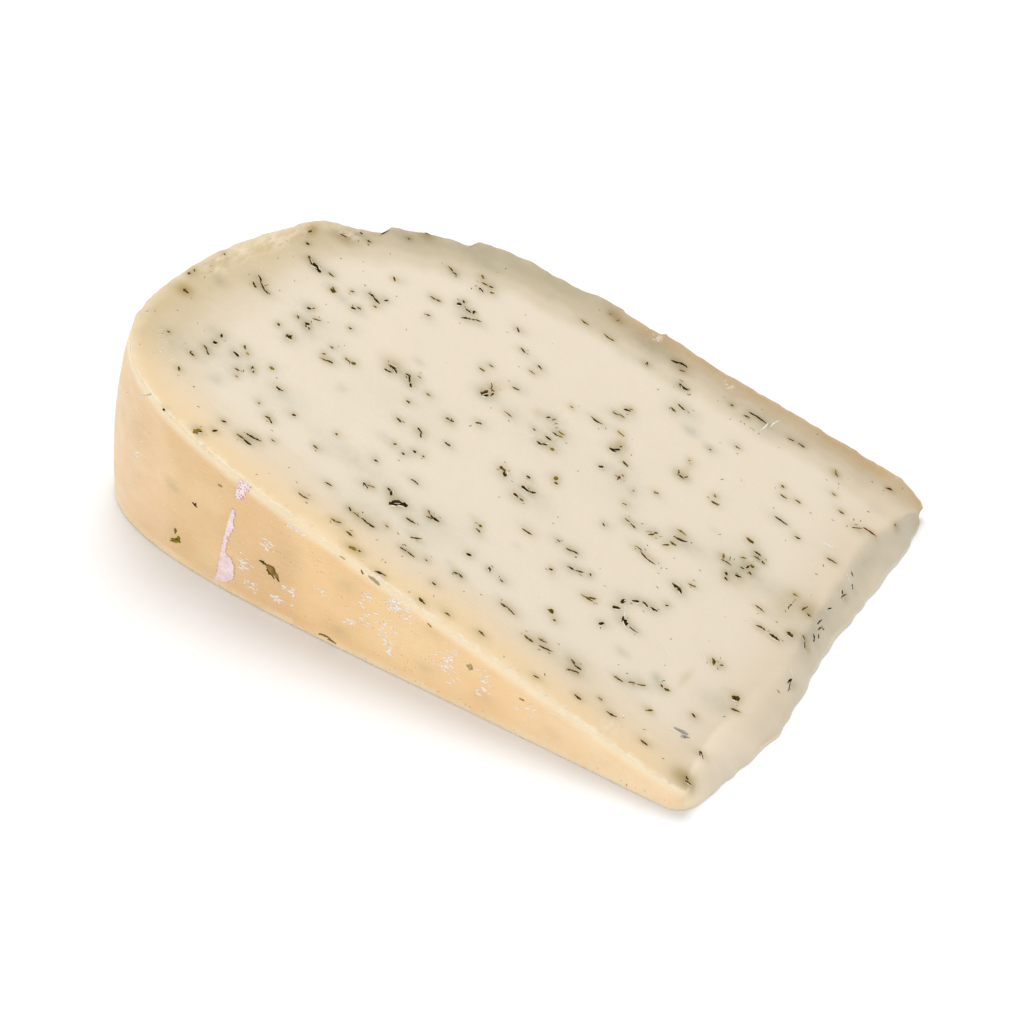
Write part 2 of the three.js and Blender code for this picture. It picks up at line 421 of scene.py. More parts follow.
MIDDLE = [
    (82.5, -19.2, 2.5, 0.4, 2, "b"), (70.6, -20.5, 1.6, 0.4, 8, "k"), (68.8, -19.9, 1.8, 0.35, 28, "k"),
    (66.6, -18.9, 0.7, 0.4, -40, "k"), (73.5, -23.6, 0.8, 0.5, 20, "k"), (63.8, -24.3, 2.5, 0.5, 8, "o"),
    (63.1, -23.5, 1.6, 0.5, 25, "o"), (90.5, -24.8, 0.8, 0.5, 0, "o"), (90.2, -26.1, 1.3, 0.4, -8, "k"),
    (98.6, -29.8, 2.5, 0.55, -4, "k"), (99.5, -30.5, 1.4, 0.4, 15, "b"), (100.4, -29.4, 1.1, 0.4, -35, "o"),
    (88.2, -32.4, 1.2, 0.6, 15, "k"), (83.0, -32.5, 1.2, 0.7, -60, "k"), (79.5, -33.0, 0.9, 0.4, -10, "b"),
    (67.7, -32.3, 1.4, 0.8, 0, "o"), (65.9, -33.6, 0.6, 0.4, 0, "k"), (98.6, -36.6, 2.5, 0.45, 35, "b"),
    (87.5, -38.1, 1.3, 0.4, 22, "o"), (86.4, -37.9, 1.2, 0.45, -14, "k"), (75.6, -37.7, 1.8, 0.45, 4, "b"),
    (73.7, -38.0, 2.0, 0.45, -12, "b"), (65.0, -39.4, 2.0, 0.35, 10, "b"), (63.4, -40.6, 3.1, 0.4, 13, "b"),
    (67.3, -41.0, 2.4, 0.5, -5, "o"), (98.9, -40.8, 1.6, 0.4, 8, "k"), (97.0, -40.7, 1.9, 0.35, -4, "k"),
    (93.8, -39.7, 0.5, 0.3, 0, "b"), (89.3, -43.4, 1.0, 0.45, 0, "k"), (98.8, -49.0, 2.5, 0.5, 14, "b"),
    (88.7, -48.6, 2.0, 0.5, -12, "b"), (83.0, -47.7, 1.4, 0.4, 0, "b"), (75.2, -46.7, 1.7, 0.5, -10, "b"),
    (87.8, 15.6, 3.0, 0.45, 0, "b"), (82.0, 16.4, 1.9, 0.4, -5, "y"), (93.7, 14.7, 0.9, 0.3, 0, "o"),
    (80.9, 11.5, 1.8, 0.8, 8, "k"), (80.3, 12.2, 1.4, 0.7, 40, "k"), (80.1, 13.4, 0.7, 0.4, 60, "b"),
    (76.9, 10.4, 1.7, 0.55, -8, "o"), (67.3, 16.8, 1.1, 0.35, -60, "o"), (66.3, 16.0, 1.9, 0.4, 0, "k"),
    (65.3, 16.7, 1.0, 0.4, 65, "o"), (95.8, 8.6, 0.9, 0.5, 60, "k"), (94.6, 9.0, 0.9, 0.3, 70, "o"),
    (91.8, 6.2, 2.5, 0.5, 10, "o"), (91.4, 7.2, 1.6, 0.5, 0, "y"), (92.7, 4.0, 1.6, 0.5, 0, "k"),
    (93.4, 1.6, 1.4, 0.55, 5, "k"), (92.4, 2.1, 1.1, 0.6, 40, "k"), (90.5, 2.2, 1.0, 0.7, 30, "y"),
    (96.2, 3.7, 0.9, 0.3, -10, "o"), (80.3, 5.9, 1.1, 0.6, 42, "k"), (75.9, 6.1, 1.3, 0.8, -70, "r"),
    (75.6, 7.4, 0.7, 0.3, -20, "o"), (71.7, 5.6, 0.5, 0.3, 0, "b"), (67.8, 8.6, 1.1, 0.35, 32, "o"),
    (71.2, 1.3, 1.1, 0.3, 15, "b"), (85.7, -3.6, 1.2, 0.9, 60, "y"), (84.9, -4.6, 0.9, 0.5, 10, "o"),
    (62.7, -1.3, 1.4, 0.45, 52, "o"), (62.2, -0.3, 1.0, 0.4, 50, "b"), (68.5, -1.7, 1.4, 0.3, 0, "b"),
    (66.8, -2.1, 1.6, 0.4, -12, "k"), (71.6, -6.2, 0.9, 0.4, -30, "k"), (62.8, -6.2, 2.0, 0.3, -4, "o"),
    (90.1, -7.5, 1.0, 0.55, 0, "k"), (95.3, -9.7, 1.7, 1.0, -8, "o"), (94.2, -10.4, 1.2, 0.9, -30, "k"),
    (88.9, -10.4, 2.0, 0.8, -2, "k"), (87.3, -10.1, 1.5, 0.5, 32, "k"), (89.5, -13.2, 1.2, 0.6, 0, "k"),
    (87.9, -13.3, 1.0, 0.4, 0, "o"), (76.3, -16.4, 0.9, 0.3, 5, "b"), (73.4, -16.8, 1.7, 0.35, 12, "b"),
    (72.1, -16.4, 1.5, 0.4, 4, "k"), (98.3, 36.5, 2.9, 0.4, 0, "o"), (99.4, 41.8, 0.9, 0.3, 70, "o"),
    (101.6, 42.1, 0.8, 0.4, 40, "y"), (88.2, 36.2, 1.4, 0.6, -75, "k"), (83.9, 41.5, 2.2, 0.55, 20, "k"),
    (82.2, 41.9, 2.3, 0.5, 4, "k"), (81.5, 40.5, 1.4, 0.35, 25, "r"), (79.4, 36.8, 1.4, 0.6, -30, "k"),
    (78.4, 36.8, 1.8, 0.55, 10, "k"), (76.2, 32.0, 2.1, 0.45, -10, "k"), (77.1, 30.1, 1.5, 0.45, -14, "b"),
    (84.4, 22.6, 1.5, 0.5, 22, "k"), (83.9, 23.4, 0.8, 0.4, 30, "y"), (85.8, 20.1, 1.6, 0.4, 12, "b"),
    (84.4, 20.4, 1.6, 0.3, 2, "o"), (68.3, 40.4, 0.7, 0.4, 0, "b"), (61.3, 31.5, 1.2, 0.35, 4, "b"),
    (65.4, 26.7, 0.6, 0.3, 20, "k"), (67.2, 21.0, 0.6, 0.3, 30, "y"),
]
NEAR_RIM = [
    (135.4, -29.1, 0.9, 0.6, 20, "k"), (139.0, -33.4, 1.2, 0.4, 15, "o"), (138.0, -33.8, 1.4, 0.4, -25, "k"),
    (134.6, -37.5, 0.8, 0.3, 0, "b"), (138.6, -39.9, 2.2, 0.5, 3, "k"), (137.1, -39.5, 1.9, 0.4, 15, "b"),
    (140.0, -41.4, 2.2, 0.4, 0, "o"), (138.2, -41.5, 2.2, 0.45, -5, "k"), (116.0, -26.6, 1.0, 0.45, 10, "k"),
    (126.0, -26.8, 0.7, 0.35, 0, "o"), (127.2, -32.6, 1.4, 0.35, -5, "b"), (119.7, -38.4, 1.7, 0.35, 10, "b"),
    (121.7, -44.4, 2.4, 0.45, 5, "b"), (115.6, -20.3, 0.7, 0.5, 30, "b"), (111.5, -19.0, 0.9, 0.45, -10, "k"),
    (112.9, -21.1, 0.8, 0.45, 0, "k"), (109.4, -18.7, 0.5, 0.35, 0, "k"), (107.0, -25.3, 2.0, 0.35, -2, "k"),
    (109.7, -30.6, 1.1, 0.5, -15, "k"), (108.9, -31.1, 1.2, 0.6, -60, "k"), (107.0, -32.8, 2.2, 1.3, 50, "k"),
    (105.6, -31.6, 2.3, 1.1, 22, "k"), (106.9, -31.9, 1.7, 0.6, 40, "b"), (113.9, -33.2, 1.6, 0.6, -22, "k"),
    (113.0, -32.6, 1.8, 0.3, 22, "o"), (101.9, -33.8, 2.4, 0.45, 4, "b"), (104.7, -38.4, 0.8, 0.3, 0, "o"),
    (112.8, -40.3, 1.2, 0.45, -30, "k"), (111.0, -40.6, 1.8, 0.3, -3, "o"), (108.8, -40.6, 2.0, 0.5, -4, "k"),
    (107.2, -40.5, 1.7, 0.4, 2, "k"), (113.5, -44.9, 1.4, 0.4, 4, "o"), (112.5, -44.6, 1.0, 0.35, 32, "k"),
    (109.2, -45.4, 1.7, 0.45, -2, "b"), (105.2, -47.4, 0.6, 0.4, 0, "k"), (106.6, -47.9, 1.8, 0.8, 15, "y"),
    (141.5, 16.0, 1.3, 0.4, -42, "b"), (139.3, 9.8, 1.0, 0.4, 60, "k"), (142.4, 8.6, 1.9, 0.5, -4, "k"),
    (140.8, 8.2, 2.0, 0.5, -12, "k"), (140.0, 6.6, 0.8, 0.4, 0, "r"), (130.5, 13.1, 0.8, 0.5, 30, "k"),
    (113.5, 9.1, 1.5, 0.4, 3, "o"), (112.6, 11.4, 1.0, 0.35, 0, "b"), (105.2, 16.2, 1.7, 0.35, 0, "o"),
    (105.3, 10.1, 1.8, 0.35, 12, "b"), (109.5, 6.9, 1.5, 0.35, -55, "o"), (108.7, 6.1, 1.2, 0.35, -8, "o"),
    (108.1, 5.1, 1.0, 0.4, 85, "k"), (109.7, 4.4, 1.9, 0.9, 65, "b"), (109.2, 3.8, 1.7, 0.9, 35, "k"),
    (102.6, 3.1, 2.2, 0.35, -3, "b"), (140.4, -2.0, 0.8, 0.4, 10, "k"), (127.9, -4.0, 1.9, 0.6, 12, "b"),
    (127.1, -4.4, 1.9, 0.6, -25, "k"), (127.9, -5.5, 1.9, 0.45, 14, "k"), (124.1, -3.5, 1.4, 0.5, 8, "k"),
    (123.2, -4.2, 1.8, 0.5, -52, "k"), (122.1, -5.3, 1.1, 0.55, -50, "k"), (122.0, -2.2, 0.9, 0.3, 0, "o"),
    (118.0, -4.7, 1.0, 0.35, -4, "b"), (105.8, -3.4, 1.4, 0.5, 30, "k"), (111.2, -7.1, 1.2, 0.4, 5, "o"),
    (110.3, -6.9, 1.0, 0.4, 22, "k"), (120.0, -9.3, 1.0, 0.5, -10, "b"), (135.8, -9.3, 1.5, 0.35, -3, "o"),
    (134.4, -9.2, 1.1, 0.7, 30, "o"), (140.2, -9.0, 0.8, 0.35, 0, "b"), (140.4, -11.6, 0.8, 0.4, 30, "o"),
    (139.3, -12.7, 1.5, 0.45, 18, "o"), (138.2, -12.4, 1.4, 0.45, 10, "k"),
    (118.6, -14.6, 1.6, 0.45, -8, "k"),
    (113.8, -13.8, 1.7, 0.4, -24, "k"), (112.9, -14.6, 1.2, 0.45, -55, "k"), (107.5, -12.5, 1.4, 0.5, 0, "k"),
    (128.0, 30.6, 1.1, 0.5, -35, "o"), (126.6, 29.2, 1.6, 0.4, 10, "o"), (125.1, 29.6, 1.1, 0.4, 22, "k"),
    (126.1, 27.2, 1.5, 0.6, -20, "k"), (124.0, 28.3, 1.0, 0.4, 30, "o"), (134.4, 27.4, 1.7, 0.4, -18, "b"),
    (133.0, 26.9, 1.2, 0.4, -4, "b"), (114.0, 23.8, 1.6, 0.45, -36, "k"), (127.3, 20.4, 1.1, 0.7, 42, "k"),
    (127.0, 21.7, 0.9, 0.5, -45, "b"), (124.8, 20.3, 1.5, 0.4, 0, "k"), (123.7, 20.8, 1.1, 0.5, -68, "k"),
    (124.0, 18.2, 2.2, 0.45, 32, "k"), (122.0, 19.3, 2.3, 0.35, 26, "b"), (132.5, 17.8, 1.4, 0.45, -4, "o"),
    (131.2, 18.1, 1.2, 0.4, 14, "b"), (110.0, 19.8, 1.7, 0.35, -20, "b"), (104.7, 18.6, 1.4, 0.45, -15, "b"),
    (104.5, 36.2, 2.1, 0.4, -3, "o"), (171.7, -18.7, 1.3, 0.8, -5, "o"), (158.8, -23.0, 1.1, 0.5, -48, "k"),
    (158.7, -25.4, 1.0, 0.8, 20, "k"), (159.4, -27.9, 1.4, 0.35, -22, "b"),
    (158.2, -28.6, 1.4, 0.4, -30, "b"),
    (160.4, -31.2, 1.4, 0.5, -5, "b"), (160.0, -36.2, 1.3, 0.4, -48, "o"), (167.5, -29.9, 0.7, 0.4, 20, "r"),
    (153.7, -24.8, 1.7, 0.6, -10, "k"), (153.4, -22.0, 1.1, 0.5, -42, "o"), (152.0, -23.0, 0.8, 0.4, 0, "y"),
    (149.0, -25.3, 1.0, 0.6, -62, "k"), (148.3, -26.0, 0.5, 0.4, 0, "k"), (146.0, -22.5, 1.2, 0.7, 10, "y"),
    (141.6, -25.7, 1.8, 0.5, 0, "k"), (151.1, -27.9, 1.1, 0.4, 5, "k"), (150.1, -29.4, 0.5, 0.3, 0, "r"),
    (144.9, -40.7, 1.2, 0.5, 20, "k"), (144.8, -43.9, 1.2, 0.5, 58, "k"), (142.5, -31.8, 0.5, 0.3, 0, "k"),
    (147.3, -46.6, 1.9, 1.2, 70, "y"), (147.0, -46.1, 1.1, 0.6, 30, "b"), (155.8, -47.2, 0.7, 0.4, 0, "k"),
    (162.4, 13.5, 1.1, 0.5, 80, "o"), (160.7, 10.3, 0.8, 0.5, 0, "k"), (157.7, 7.2, 2.2, 0.6, -32, "b"),
    (156.2, 6.5, 2.0, 0.9, 5, "k"), (154.8, 6.1, 1.9, 0.8, -22, "k"), (152.0, 7.1, 1.7, 0.4, -6, "k"),
    (149.1, 3.7, 1.4, 0.9, 10, "o"), (149.5, 4.3, 0.6, 0.4, 0, "k"), (146.0, 6.5, 0.9, 0.4, 30, "o"),
    (143.1, 2.9, 1.1, 0.6, 20, "k"), (142.3, 3.9, 0.8, 0.45, 20, "k"), (162.3, -5.0, 2.2, 0.5, -38, "k"),
    (160.6, -6.2, 2.0, 0.45, -30, "b"), (159.2, -6.9, 1.5, 0.4, -12, "b"), (162.1, -7.0, 1.7, 0.5, -30, "b"),
    (149.9, -4.0, 1.0, 0.7, 20, "k"), (149.2, -3.3, 0.6, 0.35, 60, "r"), (146.9, -5.3, 1.9, 0.35, 26, "o"),
    (150.2, -7.6, 1.0, 0.45, -32, "b"), (147.7, -7.6, 1.1, 0.7, 20, "k"), (147.5, -8.1, 1.0, 0.6, -50, "k"),
    (146.8, -8.5, 0.9, 0.4, 0, "k"), (152.0, -12.1, 0.9, 0.5, -20, "b"), (148.4, -13.3, 1.5, 0.8, 0, "b"),
    (148.3, -12.9, 0.9, 0.5, 70, "k"), (173.7, -13.0, 0.7, 0.4, -40, "o"), (174.0, -14.4, 0.8, 0.5, 50, "o"),
    (171.7, -4.9, 0.6, 0.4, 0, "o"), (144.1, 32.3, 1.5, 0.5, 5, "o"), (151.6, 20.6, 0.9, 0.5, 0, "b"),
    (156.5, 17.9, 1.7, 0.6, 12, "o"), (154.2, 21.3, 0.9, 0.4, 0, "b"), (145.9, 27.7, 0.6, 0.35, 0, "b"),
]
upper_herbs = NEAR_POINT + MIDDLE + NEAR_RIM
print("herbs with a place of their own:", len(upper_herbs))

# %% [markdown]
# ## Soft shadows in the paste
# The paste is a little translucent, so a flake that dips below the cut shows as a grey-green haze
# around and beside it. Light scattering inside the shader can't see the buried half of a flake,
# so the haze is worked out here and kept on the skin as an attribute that the colours read.

# %% Haze of the buried herbs
DEEP_HERBS = [  # place as above, reach along and across, strength
    (71.3, 28.0, 2.2, 1.3, 0.8), (66.5, 27.0, 1.2, 0.9, 0.6), (51.2, -30.4, 1.9, 1.0, 0.6),
    (42.4, -30.5, 1.4, 1.2, 1.0), (53.0, 9.0, 1.5, 0.9, 0.3), (30.0, -27.5, 4.2, 2.2, 0.5),
    (30.0, 38.9, 2.0, 1.3, 0.35), (23.5, 26.0, 3.0, 5.0, 0.6), (124.6, 1.0, 1.6, 0.9, 0.7),
    (146.3, 3.4, 1.6, 1.4, 0.6), (163.0, -31.0, 4.5, 2.6, 0.5), (152.8, -33.0, 2.2, 1.5, 0.6),
    (161.5, -23.3, 1.3, 1.1, 0.6), (168.0, -11.5, 1.9, 1.2, 0.7), (132.2, -16.4, 1.5, 1.3, 0.5),
    (120.0, -29.5, 9.0, 2.4, 0.5), (118.0, -20.5, 2.6, 1.1, 0.5), (92.2, -24.3, 1.7, 1.0, 0.5),
    (82.0, -23.8, 1.2, 0.9, 0.3), (54.5, 2.0, 4.5, 2.2, 0.5), (37.0, 5.0, 6.0, 2.6, 0.4),
    (130.0, 34.0, 6.0, 2.2, 0.5), (89.5, -37.0, 1.6, 0.8, 0.4), (93.0, 35.0, 3.4, 1.6, 0.35),
    (90.0, 41.5, 5.0, 2.6, 0.7), (60.0, 41.0, 3.5, 2.4, 0.6), (74.0, 31.5, 3.0, 2.2, 0.5),
    (24.5, 3.0, 2.4, 6.0, 0.6), (110.0, -38.5, 6.0, 3.0, 0.4), (98.0, -32.0, 8.0, 5.0, 0.3),
    (86.0, -11.5, 6.0, 3.0, 0.3), (140.0, -26.5, 6.0, 3.0, 0.4), (155.0, -26.0, 7.0, 4.0, 0.35),
    (120.0, -10.0, 10.0, 5.0, 0.2), (45.0, 6.0, 5.0, 6.0, 0.3), (24.5, -46.6, 3.2, 2.4, 0.7),
    (30.0, 3.0, 4.0, 6.0, 0.3), (57.0, -39.5, 5.0, 3.0, 0.35), (96.0, 5.0, 7.0, 6.0, 0.22),
    (74.0, 5.0, 6.0, 5.0, 0.22), (146.0, -8.0, 6.0, 5.0, 0.3),
]
GREEN_STAINS = [
    (38.0, -26.5, 0.9, 2.6, 0.35), (27.6, 6.6, 2.0, 2.2, 0.5), (98.0, 8.0, 1.3, 1.0, 0.4),
    (66.4, 18.5, 1.1, 2.6, 0.4), (106.5, -48.0, 2.2, 1.2, 0.5), (162.4, 14.0, 1.2, 1.7, 0.8),
    (144.1, 31.5, 2.2, 1.6, 0.9), (171.7, -18.7, 2.2, 1.6, 0.8), (100.0, 42.0, 2.6, 1.3, 0.6),
    (108.4, 8.0, 1.6, 2.0, 0.4), (128.0, -3.0, 3.0, 2.0, 0.4), (32.0, 4.0, 3.0, 4.0, 0.35),
    (80.5, 14.0, 1.6, 1.4, 0.6), (42.0, 3.0, 5.0, 4.0, 0.25), (156.0, 17.5, 3.0, 1.6, 0.7),
    (24.0, -47.2, 2.4, 1.6, 0.7), (26.2, -46.6, 2.4, 1.8, 0.6),
]


def haze(across, down, spots):
    """Bell-shaped spots laid over each other: 1 less the product of (1 - strength x bell)."""
    clear = np.ones(len(across))
    for x, y_, reach, width, strength in spots:
        bell = np.exp(-(((across - x) / reach) ** 2) - ((down - y_) / width) ** 2)
        clear *= 1 - strength * bell
    return 1 - clear


chance = np.random.default_rng(41)
own_haze = [
    (r + chance.uniform(-1.0, 1.0), y_ + chance.uniform(-0.8, 0.8), 0.6 * length + 1.5, 0.5 * width + 1.3,
     0.38 if kind in "kb" else 0.22)
    for r, y_, length, width, turn, kind in upper_herbs
]
close_haze = [
    (r, y_, 0.45 * length + 0.6, 0.5 * width + 0.6, 0.62) for r, y_, length, width, turn, kind in upper_herbs
]
near_top = upper | on_torn
cool_haze = np.zeros(len(place))
cool_haze[near_top] = haze(rho[near_top], y[near_top], DEEP_HERBS + own_haze)
green_haze = np.zeros(len(place))
green_haze[near_top] = haze(rho[near_top], y[near_top], GREEN_STAINS + close_haze)
cool_haze[on_torn] *= ease(0.2, 0.9, w[on_torn])
green_haze[on_torn] *= ease(0.2, 0.9, w[on_torn])

LOWER_HERBS = 210
lower = resting & (to_rind > 2.0) & (rho > 22.0)
lower_seed = chance.choice(np.flatnonzero(lower), LOWER_HERBS, replace=False)
lower_spots = [(rho[n], y[n], 2.2, 1.2, chance.uniform(0.15, 0.45)) for n in lower_seed]
cool_haze[resting] = haze(rho[resting], y[resting], lower_spots)

SCUFFS = [  # where the edge and the cut were rubbed pale: as above
    (171.5, -8.0, 2.6, 4.0, 0.9), (169.5, -1.0, 2.4, 4.0, 0.9), (166.5, 6.5, 2.6, 4.5, 1.0),
    (164.5, 12.0, 1.8, 3.0, 0.8), (156.5, 19.5, 3.5, 1.8, 0.7), (171.4, 24.0, 2.0, 2.0, 0.5),
    (150.0, -49.0, 12.0, 1.4, 0.6), (90.3, 44.2, 1.2, 0.8, 1.0), (71.4, 44.6, 1.2, 0.8, 1.0),
    (43.0, -47.0, 3.0, 1.6, 0.7), (36.0, -43.0, 2.0, 1.4, 0.5), (93.0, 12.0, 3.5, 2.5, 0.5),
    (96.0, 1.5, 2.4, 1.8, 0.5), (147.0, -27.0, 1.6, 1.2, 0.6), (143.0, -20.0, 2.2, 1.4, 0.5),
    (86.0, 31.0, 2.2, 1.2, 0.5),
]
scuffed = np.zeros(len(place))
scuffed[near_top] = haze(rho[near_top], y[near_top], SCUFFS)

front = j == 0
chalky = np.exp(-((to_upper_edge / 1.5) ** 2))
chalky *= ease(-30.0, -46.0, place[:, 0]) * ease(-80.0, -70.0, place[:, 0])
scuffed[front] = chalky[front]

RIND_GHOSTS = [  # on the front rind: x, z, reach along and up, strength
    (-50.8, 22.6, 2.2, 1.8, 0.7), (-5.5, 20.1, 3.0, 2.4, 0.5), (-20.0, 20.0, 3.2, 4.5, 0.4),
    (2.5, 26.0, 3.0, 1.4, 0.9), (-8.0, 5.5, 3.6, 2.2, 0.5), (13.4, 7.0, 2.2, 1.8, 0.5),
    (15.8, 19.0, 3.2, 2.2, 0.4), (28.0, 6.5, 3.0, 1.8, 0.4), (44.0, 6.0, 3.0, 2.0, 0.35),
    (-62.0, 30.0, 3.0, 3.0, 0.35), (-25.0, 13.4, 4.5, 2.4, 0.5), (-51.6, 7.8, 3.0, 3.0, 0.4),
]
cool_haze[front] = haze(place[front, 0], place[front, 2], RIND_GHOSTS)
hidden = on_rind & ~front
clear_of_edges = (w > 0.15) & (w < 0.85) & (rho > 60) & (y > -36) & (np.abs(y - 20) > 6)
hidden_seed = chance.choice(np.flatnonzero(hidden & clear_of_edges), 34, replace=False)
for n in hidden_seed:
    gap = np.linalg.norm(place[hidden] - place[n], axis=1)
    cool_haze[hidden] = np.maximum(cool_haze[hidden], 0.5 * np.exp(-((gap / 2.6) ** 2)))
print("haze covers", round(float((cool_haze > 0.2).mean() * 100), 1), "percent of the skin")

# %% [markdown]
# ## Mesh helpers
# One helper puts any points and four-cornered faces into a mesh, in metres, with the object at
# the origin, and says which body of the frame it rides on.

# %% From arrays to a piece
def make_piece(name, points, faces, attributes=None):
    """Fills a mesh from arrays in one go, smooth shaded, with float or colour attributes."""
    mesh = bpy.data.meshes.new(name)
    mesh.vertices.add(len(points))
    mesh.vertices.foreach_set("co", (np.asarray(points) * MM).astype(np.float32).ravel())
    mesh.loops.add(faces.size)
    mesh.loops.foreach_set("vertex_index", faces.astype(np.int32).ravel())
    mesh.polygons.add(len(faces))
    mesh.polygons.foreach_set("loop_start", np.arange(0, faces.size, 4, dtype=np.int32))
    mesh.polygons.foreach_set("use_smooth", np.ones(len(faces), dtype=bool))
    mesh.update(calc_edges=True)
    for key, values in (attributes or {}).items():
        colour = values.ndim == 2
        layer = mesh.attributes.new(key, "FLOAT_COLOR" if colour else "FLOAT", "POINT")
        layer.data.foreach_set("color" if colour else "value", values.astype(np.float32).ravel())
    piece = bpy.data.objects.new(name, mesh)
    bpy.context.collection.objects.link(piece)
    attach(piece, "root")
    return piece


def paint(red, green, blue):
    """A chart colour, 0 to 255, as the linear light that shaders work in."""
    c = np.array([red, green, blue]) / 255.0
    c = np.where(c <= 0.04045, c / 12.92, ((c + 0.055) / 1.055) ** 2.4)
    return (float(c[0]), float(c[1]), float(c[2]), 1.0)


# The attribute torn carries the share of painted shade on the torn end.
wedge = make_piece("cheese_body", place, quads, {
    "to_rind": to_rind, "to_edge": to_edge, "to_point": np.where(on_torn, 0.0, to_point),
    "torn": turn_from_cut_shade, "blunt": blunt / BLUNTED,
    "cool_haze": cool_haze, "green_haze": green_haze, "scuffed": scuffed,
})
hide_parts("cheese_wedge")
print(wedge.name, "has", len(wedge.data.polygons), "faces")

# %% [markdown]
# ## Slivers laid in a surface
# A herb, a torn lip of paste and a fleck of wax are all the same thing: a thin lens of a few
# faces that follows the skin. Its middle line bends a little, its width swells and breaks up, and
# every ring of four points stands on the nearest skin point's normal: two edges just below the
# skin, a back just above it and a keel below.

# %% Slivers
HERB_COLOURS = {
    "k": (paint(12, 7, 0), paint(66, 47, 1)), "b": (paint(54, 34, 0), paint(122, 88, 14)),
    "o": (paint(76, 62, 0), paint(136, 112, 12)), "y": (paint(120, 102, 12), paint(176, 154, 52)),
    "r": (paint(90, 24, 12), paint(146, 66, 40)), "g": (paint(184, 166, 120), paint(210, 192, 150)),
    "d": (paint(138, 106, 54), paint(184, 150, 90)), "c": (paint(146, 142, 136), paint(190, 185, 178)),
}
RINGS = 7


def settle(points, on):
    """Moves points along the nearest skin point's normal onto the skin; gives both back."""
    flat = points.reshape(-1, 3)
    cloud, cloud_normal = place[on], normal[on]
    near = np.concatenate([
        ((flat[n:n + 64, None] - cloud[None]) ** 2).sum(-1).argmin(1) for n in range(0, len(flat), 64)
    ])
    out = cloud_normal[near]
    lift = ((flat - cloud[near]) * out).sum(-1, keepdims=True)
    return (flat - lift * out).reshape(points.shape), out.reshape(points.shape)


def slivers(centre, run, side, length, width, on, seed, rise=0.06, keel=0.25):
    """Rings of four points along a bent line; half width = width/2 sqrt(1 - 0.9 s^2), broken up."""
    rng = np.random.default_rng(seed)
    n = len(length)
    s = np.linspace(-1.0, 1.0, RINGS)[None, :]
    length, width = length[:, None], width[:, None]
    bend = rng.uniform(-0.09, 0.09, (n, 1)) * length * (1 - s**2)
    bend = bend + rng.uniform(-0.08, 0.08, (n, RINGS)) * width
    line = centre[:, None] + run[:, None] * (s * length / 2)[..., None] + side[:, None] * bend[..., None]
    line, out = settle(line, on)
    over = np.cross(out, run[:, None] + 0.0 * out)
    over /= np.linalg.norm(over, axis=-1, keepdims=True)
    half = (width / 2 * np.sqrt(1 - 0.9 * s**2) * rng.uniform(0.55, 1.3, (n, RINGS)))[..., None]
    sunk = line - out * 0.02
    rings = np.stack([sunk - over * half, line + out * rise, sunk + over * half, line - out * keel], axis=2)
    points = rings.reshape(-1, 3)
    ids = np.arange(n * RINGS * 4).reshape(n, RINGS, 4)
    turn = np.roll(ids, -1, axis=2)
    walls = np.stack([ids[:, :-1], ids[:, 1:], turn[:, 1:], turn[:, :-1]], axis=-1).reshape(-1, 4)
    caps = np.concatenate([ids[:, 0], ids[:, -1, ::-1]])
    return points, np.vstack([walls, caps])


def sliver_tint(kinds, seed):
    """Each ring's colour lies between its kind's dark and light paint, lighter at the ends."""
    rng = np.random.default_rng(seed)
    dark = np.array([HERB_COLOURS[kind][0] for kind in kinds])[:, None]
    light = np.array([HERB_COLOURS[kind][1] for kind in kinds])[:, None]
    ends = np.linspace(-1.0, 1.0, RINGS)[None, :, None] ** 2
    share = np.clip(0.55 * ends + rng.uniform(-0.25, 0.5, (len(kinds), RINGS, 1)), 0, 1)
    return np.repeat(dark + (light - dark) * share, 4, axis=1).reshape(-1, 4)


DOWN_SLOPE = np.array([math.cos(cut_angle), 0.0, -math.sin(cut_angle)])
ALONG, ACROSS, UP = np.eye(3)


def on_cut(spots):
    """Places on the upper cut, from distance to the wheel's axis and place across."""
    return wheel_to_row(spots[:, 0], spots[:, 1], np.ones(len(spots)))


def turned(degrees, first, second):
    """Run and side of each sliver: first cos + second sin, and second cos - first sin."""
    turn = np.radians(degrees)[:, None]
    return np.cos(turn) * first + np.sin(turn) * second, np.cos(turn) * second - np.sin(turn) * first


herb = np.array([h[:5] for h in upper_herbs])
kinds = [h[5] for h in upper_herbs]
upper_centre = on_cut(herb)
upper_run, upper_side = turned(herb[:, 4], DOWN_SLOPE, ACROSS)
herb_parts = [slivers(upper_centre, upper_run, upper_side, herb[:, 2], 1.3 * herb[:, 3], near_top, 51)]
herb_tints = [sliver_tint(kinds, 52)]

SPRINKLED = 110
pick = chance.choice(np.flatnonzero(upper & (to_rind > 1.5) & (rho > 24.0)), SPRINKLED, replace=False)
herb_parts.append(slivers(
    place[pick], *turned(chance.normal(0, 35, SPRINKLED), DOWN_SLOPE, ACROSS),
    chance.uniform(0.25, 0.7, SPRINKLED), chance.uniform(0.12, 0.26, SPRINKLED), upper, 53,
))
herb_tints.append(sliver_tint(chance.choice(list("kboyg"), SPRINKLED), 54))

